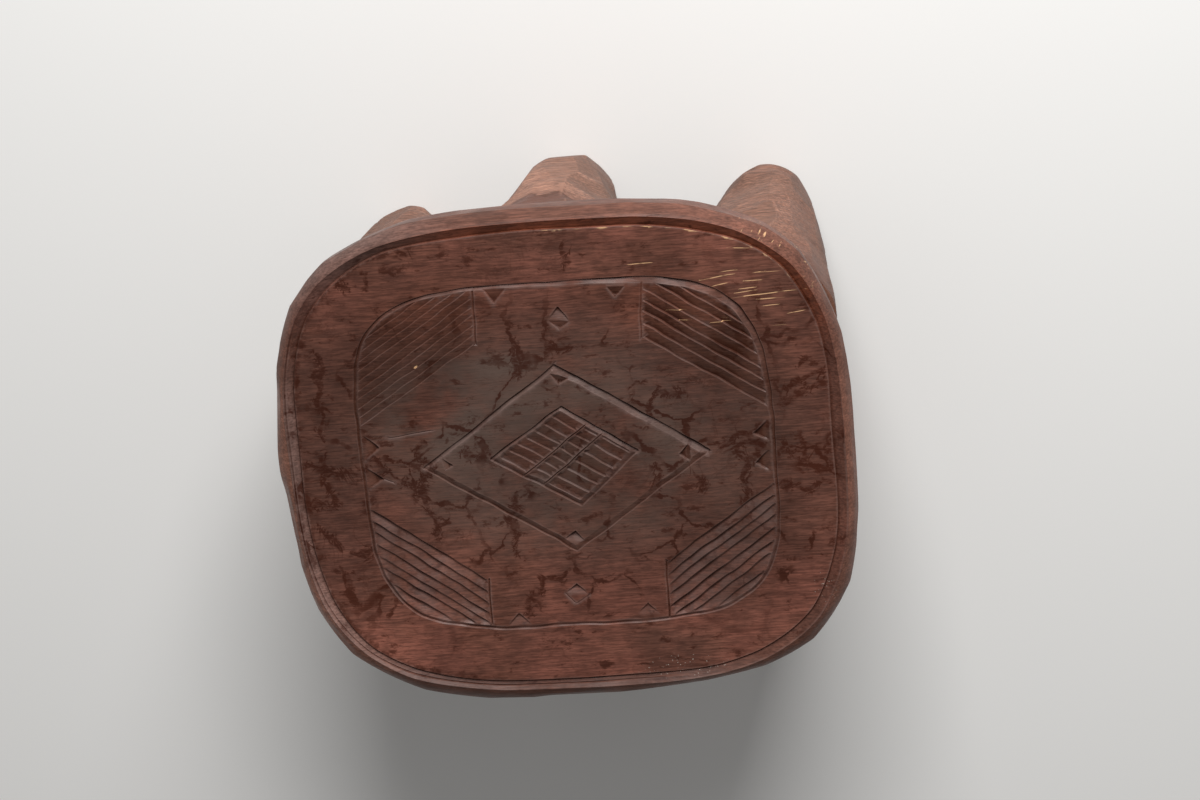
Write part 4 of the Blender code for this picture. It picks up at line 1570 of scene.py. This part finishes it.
class CarvingPlan:
    """Points and creases of the field, seen from above."""

    def __init__(self):
        self.points = []
        self.creases = []

    def line(self, path, closed=False):
        """A crease along a path, as points in order."""
        first = len(self.points)
        self.points.extend(tuple(point) for point in path)
        self.creases.extend((index, index + 1) for index in range(first, len(self.points) - 1))
        if closed:
            self.creases.append((len(self.points) - 1, first))

    def straight(self, start, end, step=CREASE_STEP):
        """A crease along a straight line."""
        start, end = np.array(start), np.array(end)
        count = max(1, round(np.linalg.norm(end - start) / step))
        self.line([start + (end - start) * index / count for index in range(count + 1)])

    def fill(self, outline):
        """Points on a staggered grid inside the outline, clear of the creases."""
        spacing, clearance = GRID_SPACING, GRID_CLEARANCE
        tree = kdtree.KDTree(len(self.points))
        for index, point in enumerate(self.points):
            tree.insert((*point, 0.0), index)
        tree.balance()
        low, high = outline.min(axis=0), outline.max(axis=0)
        middle = (low + high) / 2
        turns = np.unwrap(np.arctan2(outline[:, 1] - middle[1], outline[:, 0] - middle[0]))
        reaches = np.linalg.norm(outline - middle, axis=1)
        draws = np.random.default_rng(GRID_SEED)
        for row, y in enumerate(np.arange(low[1], high[1], spacing * GRID_ROWS)):
            for x in np.arange(low[0] + (row % 2) * spacing / 2, high[0], spacing):
                place = np.array((x, y)) + draws.uniform(-GRID_STRAY, GRID_STRAY, 2) * spacing
                offset = place - middle
                turn = (math.atan2(offset[1], offset[0]) - turns[0]) % math.tau + turns[0]
                if np.linalg.norm(offset) > np.interp(turn, turns, reaches, period=math.tau) - clearance:
                    continue
                if tree.find((*place, 0.0))[2] > clearance:
                    self.points.append(tuple(place))


BORDER_POINTS = 420


def plan_border(plan, carving):
    turn = np.linspace(0, math.tau, BORDER_POINTS, endpoint=False)
    half = (carving.border_length / 2, carving.border_width / 2)
    reach = outline_reach(turn, *half, carving.border_power)
    bottom = np.stack([reach * np.cos(turn), reach * np.sin(turn)], axis=1)
    run = np.roll(bottom, -1, axis=0) - np.roll(bottom, 1, axis=0)
    normal = np.stack([run[:, 1], -run[:, 0]], axis=1) / np.linalg.norm(run, axis=1)[:, None]
    gentle = border_gentle(np.arctan2(bottom[:, 1], bottom[:, 0]))[:, None]
    for offset in (0.0, BORDER_STEEP, BORDER_STEEP + CRISP_EDGE, -gentle):
        plan.line(bottom + offset * normal, closed=True)


def plan_outline(plan, corners, cuts):
    for (start, along, length, normal), (steep, gentle, _) in zip(side_frames(corners), cuts):
        for offset, shorter in ((0.0, 0.0), (steep, 0.0), (steep + CRISP_EDGE, 0.0), (-gentle, gentle)):
            from_start = start + along * shorter + normal * offset
            plan.straight(from_start, from_start + along * (length - 2 * shorter))


def plan_panel(plan):
    for left, right, rows, shift in panel_strips():
        for row in range(-1, rows + 1):
            for foot in (-ROW_CRISP, 0.0, ROW_WALL):
                v = (row + 1 - foot - shift) / rows
                if PANEL_MARGIN < v < 1 - PANEL_MARGIN:
                    plan.straight(panel_point(left, v), panel_point(right, v))
    for column in PANEL_COLUMNS:
        for offset in (-COLUMN_HALF, 0.0, COLUMN_HALF):
            plan.straight(panel_point(column + offset, 0.0), panel_point(column + offset, 1.0))


# Places along a hatch line and a stop line
HATCH_RUN = np.arange(-0.06, 0.13, HATCH_STEP)
STOP_RUN = np.arange(-0.001, 0.05, HATCH_STEP)
SHORTEST_HATCH = 3


def plan_hatches(plan, carving):
    for corner in range(len(HATCH_CORNERS)):
        start, along, normal, stop, beyond = hatch_frame(corner)
        places, _ = hatch_lines(carving, corner)
        for away in np.concatenate([places - CRISP_EDGE, places, places + HATCH_WALLS[corner]]):
            path = start + normal * away + HATCH_RUN[:, None] * along
            outside, turn = border_offset(path, carving)
            path = path[(outside < -border_gentle(turn)) & ((path - start) @ beyond > HATCH_GAP)]
            if len(path) >= SHORTEST_HATCH:
                plan.line(path)
        for offset in (-STOP_INNER, 0.0, STOP_OUTER):
            path = start + beyond * offset + STOP_RUN[:, None] * stop
            plan.line(path[border_offset(path, carving)[0] < -HATCH_GAP])


CHIP_RINGS = (0.75, 0.5, 0.25)


def plan_chips(plan):
    for chip in CHIPS:
        corners = np.array(chip)
        middle = corners.mean(axis=0)
        for ring in (corners, *(middle + (corners - middle) * shrink for shrink in CHIP_RINGS)):
            for start, end in zip(ring, np.roll(ring, -1, axis=0)):
                plan.straight(start, end, CHIP_STEP)


FEWEST_SCRATCH_POINTS = 4


def line_frame(start, end):
    """A line as a vector, and the direction square to it."""
    along = np.array(end) - np.array(start)
    return along, np.array((-along[1], along[0])) / np.linalg.norm(along)


def plan_scratches(plan):
    for start, end in SCRIBES:
        _, normal = line_frame(start, end)
        for offset in (-SCRIBE_HALF, 0.0, SCRIBE_HALF):
            plan.straight(start + normal * offset, end + normal * offset, SCRIBE_STEP)
    for start, end, width in SCRATCHES:
        along, normal = line_frame(start, end)
        count = max(FEWEST_SCRATCH_POINTS, round(np.linalg.norm(along) / SCRATCH_STEP))
        share = np.linspace(0, 1, count)
        for margin in (0.0, SCRATCH_EDGE):
            half = (scratch_half(share, width) + margin)[:, None] * normal
            line = np.array(start) + share[:, None] * along
            plan.line(line + half)
            plan.line(line - half)


# The triangulation keeps only what lies inside the outline, and welds what lies nearer than this
INSIDE_ONLY = 1
NEAREST = 1e-6

# Width of the band along the edge that counts as near it, the share of it that counts as on it, a full cut,
# and how the two kinds of unevenness are stretched
EDGE_BAND = 0.012
ON_EDGE = 0.002
FULL_CUT = 0.0018
SWELL_ACROSS = 1.8
GRAIN_ALONG = 0.4


def field_mesh(shape, carving, edge):
    """Points, faces and masks of the carved field inside its edge ring."""
    middle = np.array((0.0, shape.crest_shift))
    outline = edge[:, :2] - middle
    plan = CarvingPlan()
    plan.line(outline, closed=True)
    plan_border(plan, carving)
    plan_outline(plan, DIAMOND, DIAMOND_CUTS)
    plan_outline(plan, PANEL, PANEL_CUTS)
    plan_panel(plan)
    plan_hatches(plan, carving)
    plan_chips(plan)
    plan_scratches(plan)
    plan.fill(outline)
    flat = [Vector(point) for point in plan.points]
    places, _, faces, *_ = geometry.delaunay_2d_cdt(flat, plan.creases, [], INSIDE_ONLY, NEAREST)
    points = np.array([tuple(place) for place in places])
    depth = carved_depth(points, carving)
    from_edge = np.interp(*edge_lookup(points, outline)) - np.linalg.norm(points, axis=1)
    inside = np.clip(from_edge / EDGE_BAND, 0, 1)
    x, y = points.T
    stray = np.stack([sum(waves(x, y, *sizes) for sizes in pair) for pair in HAND_WAVES], axis=1)
    stray = stray * carving.wobble * inside[:, None]
    swell = waves(x, y * SWELL_ACROSS, *SWELL_WAVES) + waves(x * GRAIN_ALONG, y, *GRAIN_WAVES)
    z = CREST_Z - shape.field_depth + swell * inside - depth
    solid = np.column_stack([points + stray + middle, z])
    marks = {
        "edge": 1 - inside,
        "cut": np.clip(depth / FULL_CUT, 0, 1),
        "painted_sheen": facing_back(points, carving, depth),
        "bare": np.where(inside < ON_EDGE, golden_edge(x, y), scratch_mask(points)),
        "stain": stain_mask(points),
    }
    return solid, faces, marks


def edge_lookup(points, outline):
    """Arguments that look up the edge's reach at each point's turn."""
    turns = np.arctan2(outline[:, 1], outline[:, 0])
    order = np.argsort(turns)
    turn = np.arctan2(points[:, 1], points[:, 0])
    return turn, turns[order], np.linalg.norm(outline, axis=1)[order]


RIM_POINTS = 480
WELD = 2e-6

# Height below the crest at which hewing starts, and over which it gets full
UNHEWN = 0.0015
HEWN_FADE = 0.004


def seat_blank(shape, carving):
    """The whole seat before its edge is hewn: rings round the edge, a fan below and the field above."""
    count = RIM_POINTS
    turn = np.linspace(0, math.tau, count, endpoint=False)
    rings = rim_rings(shape, turn)
    field, field_faces, marks = field_mesh(shape, carving, rings[-1])
    points = np.concatenate([np.array([[0.0, 0.0, rings[0][:, 2].mean()]]), *rings, field])
    faces = [(0, 1 + (index + 1) % count, 1 + index) for index in range(count)]
    for level in range(len(rings) - 1):
        low = 1 + level * count
        for index in range(count):
            after = (index + 1) % count
            faces.append((low + index, low + after, low + count + after, low + count + index))
    first = 1 + len(rings) * count
    faces += [tuple(first + index for index in face) for face in field_faces]
    mesh = bpy.data.meshes.new("carved_seat")
    mesh.from_pydata(points.tolist(), [], faces)
    crest = len(rings) - 1 - RINGS_INSIDE_CREST
    levels = np.repeat(np.arange(len(rings)), count)
    level = np.concatenate([[0], levels, np.full(len(field), len(rings))])
    hewn = np.clip((CREST_Z - UNHEWN - points[:, 2]) / HEWN_FADE, 0, 1)
    store(mesh, "hewn", np.where(level < crest, hewn, 0.0))
    store(mesh, "wall", level < crest)
    store(mesh, "lip", (level >= crest) & (level < len(rings) - 2))
    for name, values in marks.items():
        rim = np.zeros(first)
        if name == "edge":
            rim[-count:] = 1.0
        if name == "bare":
            rim[-count:] = golden_edge(*(rings[-1][:, :2] - (0.0, shape.crest_shift)).T)
        store(mesh, name, np.concatenate([rim, values]))
    welded = bmesh.new()
    welded.from_mesh(mesh)
    bmesh.ops.remove_doubles(welded, verts=welded.verts, dist=WELD)
    bmesh.ops.recalc_face_normals(welded, faces=welded.faces)
    welded.to_mesh(mesh)
    welded.free()
    return mesh


# Adze cuts on the seat's edge
RIM_CUTS = {"Cut Size": 0.034, "Depth": 0.0008, "Seed": 9}

# Angles from which an edge is drawn sharp, and from which it counts as a full ridge or fold
SEAT_EDGES = (math.radians(11), math.radians(28))
LEG_EDGES = (math.radians(10), math.radians(20))


class STOOL_OT_carve_seat(Operator):
    """Carve the seat: its hewn edge, raised crest, sunk field and cut ornament"""

    bl_idname = "stool.carve_seat"
    bl_label = "Carve seat"

    def execute(self, context):
        scene = context.scene
        seat_wood, _ = wood_finish()
        blank = seat_blank(scene.stool_seat, scene.stool_carving)
        values = {**RIM_CUTS, "Wood": seat_wood}
        seat = plain_mesh("carved_seat", blank, tree_named("hewn rim", rim_tree), values)
        mark_edges(seat.data, *SEAT_EDGES)
        dress(seat, "seat")
        return {"FINISHED"}


def root_stray(node):
    """How far a hand-hewn root strays from its even place."""
    return Vector((*ROOT_STRAY.get(node, (0.0, 0.0)), 0.0))


class STOOL_OT_hew_legs(Operator):
    """Hew the six legs, each leaning from its root under the seat to its foot on the floor"""

    bl_idname = "stool.hew_legs"
    bl_label = "Hew legs"

    def execute(self, context):
        legs = context.scene.stool_legs
        _, leg_wood = wood_finish()
        feet = {mount["name"]: Vector(mount["pos_m"]) for mount in frame["record"]["mounts"]}
        for number, node in enumerate(LEG_NODES):
            low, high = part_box(node)
            root = ((low.x + high.x) / 2, (low.y + high.y) / 2, UNDERSIDE_Z)
            slim = SLIM_LEGS.get(node, 1.0)
            values = {
                "Root": Vector(root) + root_stray(node),
                "Foot": feet[node.replace("leg", "foot")],
                "Root Radius": legs.root_radius * slim,
                "Ankle Radius": legs.ankle_radius * slim,
                "Foot Radius": legs.foot_radius,
                "Foot Round": legs.foot_round,
                "Fullness": legs.fullness,
                "Sunk": legs.sunk,
                "Spare": legs.spare,
                "Cut Size": legs.cut_size,
                "Seed": LEG_SEEDS.get(node, FIRST_LEG_SEED + number),
                "Wood": leg_wood,
            }
            name = "hewn_" + node
            leg = plain_mesh(name, bpy.data.meshes.new(name), tree_named("hewn leg", leg_tree), values)
            mark_edges(leg.data, *LEG_EDGES)
            mark_end_grain(leg.data)
            dress(leg, node)
        return {"FINISHED"}


class STOOL_OT_set_stage(Operator):
    """Set out the floor, the light and the camera"""

    bl_idname = "stool.set_stage"
    bl_label = "Set stage"

    def execute(self, context):
        stage = context.scene.stool_stage
        lay_floor(stage)
        light_stage(stage)
        place_camera(stage, context.scene.stool_seat.crest_shift)
        context.scene.view_settings.view_transform = "Standard"
        return {"FINISHED"}


FLOOR_TILES = 8
FLOOR_HALF = 4.0
FLOOR_ROUGHNESS = 0.9
FLOOR_GLOSS = 0.1

# The way from the seat to the large lamp, and how far
KEY_DIRECTION = (0.16, 0.81, 0.56)
KEY_DISTANCE = 2.1


def lay_floor(stage):
    tiles = bmesh.new()
    bmesh.ops.create_grid(tiles, x_segments=FLOOR_TILES, y_segments=FLOOR_TILES, size=FLOOR_HALF)
    mesh = bpy.data.meshes.new("floor")
    tiles.to_mesh(mesh)
    tiles.free()
    material = bpy.data.materials.new("pale_floor")
    material.use_nodes = True
    shader = material.node_tree.nodes["Principled BSDF"]
    shader.inputs["Base Color"].default_value = (*stage.floor_colour, 1.0)
    shader.inputs["Roughness"].default_value = FLOOR_ROUGHNESS
    shader.inputs["Specular IOR Level"].default_value = FLOOR_GLOSS
    mesh.materials.append(material)
    floor = bpy.data.objects.new("floor", mesh)
    bpy.context.scene.collection.objects.link(floor)


def light_stage(stage):
    world = bpy.data.worlds.new("even_light")
    world.use_nodes = True
    sky = world.node_tree.nodes["Background"]
    sky.inputs["Color"].default_value = (1.0, 1.0, 1.0, 1.0)
    sky.inputs["Strength"].default_value = stage.sky
    bpy.context.scene.world = world
    lamp = bpy.data.lights.new("soft_key", "AREA")
    lamp.shape = "SQUARE"
    lamp.size = stage.key_size
    lamp.energy = stage.key_power
    key = bpy.data.objects.new("soft_key", lamp)
    bpy.context.scene.collection.objects.link(key)
    middle = Vector((0.0, 0.0, CREST_Z))
    towards = Vector(KEY_DIRECTION).normalized()
    key.location = middle + towards * KEY_DISTANCE
    key.rotation_euler = towards.to_track_quat("Z", "Y").to_euler()


def place_camera(stage, crest_shift):
    """Looks down on the seat, tilted to the back, with the crest's middle at its place in the picture."""
    lens = bpy.data.cameras.new("camera")
    lens.sensor_fit = "HORIZONTAL"
    lens.lens = stage.focal
    camera = bpy.data.objects.new("camera", lens)
    bpy.context.scene.collection.objects.link(camera)
    tilt, yaw, roll = stage.tilt, stage.yaw, stage.roll
    back = Vector((math.sin(yaw), math.sin(tilt) * math.cos(yaw), math.cos(tilt) * math.cos(yaw)))
    level = Vector((0.0, 1.0, 0.0)).cross(back).normalized()
    upright = back.cross(level)
    right = math.cos(roll) * level - math.sin(roll) * upright
    up = math.sin(roll) * level + math.cos(roll) * upright
    per_pixel = lens.sensor_width / lens.lens / stage.picture_width
    aim = Vector((stage.middle_across * per_pixel, stage.middle_up * per_pixel, -1.0))
    swing = Vector((0.0, 0.0, -1.0)).rotation_difference(aim).to_matrix()
    axes = swing @ Matrix((right, up, back))
    middle = Vector((0.0, crest_shift, CREST_Z))
    camera.matrix_world = Matrix.Translation(middle + back * stage.distance) @ axes.transposed().to_4x4()
    bpy.context.scene.camera = camera


class STOOL_PT_sidebar(Panel):
    """Lists the steps that make the stool"""

    bl_idname = "STOOL_PT_sidebar"
    bl_label = "Carved stool"
    bl_space_type = "VIEW_3D"
    bl_region_type = "UI"
    bl_category = "Stool"

    def draw(self, context):
        for step in STEPS:
            self.layout.operator(step.bl_idname)


SETTINGS = {
    "stool_seat": StoolSeatShape,
    "stool_carving": StoolCarving,
    "stool_legs": StoolLegShape,
    "stool_finish": StoolFinish,
    "stool_stage": StoolStage,
}
STEPS = (STOOL_OT_carve_seat, STOOL_OT_hew_legs, STOOL_OT_set_stage)
CLASSES = (*SETTINGS.values(), *STEPS, STOOL_PT_sidebar)


def register():
    for cls in CLASSES:
        bpy.utils.register_class(cls)
    for name, group in SETTINGS.items():
        setattr(bpy.types.Scene, name, PointerProperty(type=group))


def unregister():
    for name in SETTINGS:
        delattr(bpy.types.Scene, name)
    for cls in reversed(CLASSES):
        bpy.utils.unregister_class(cls)


def main():
    register()
    bpy.ops.stool.carve_seat()
    bpy.ops.stool.hew_legs()
    bpy.ops.stool.set_stage()


if __name__ == "__main__":
    main()
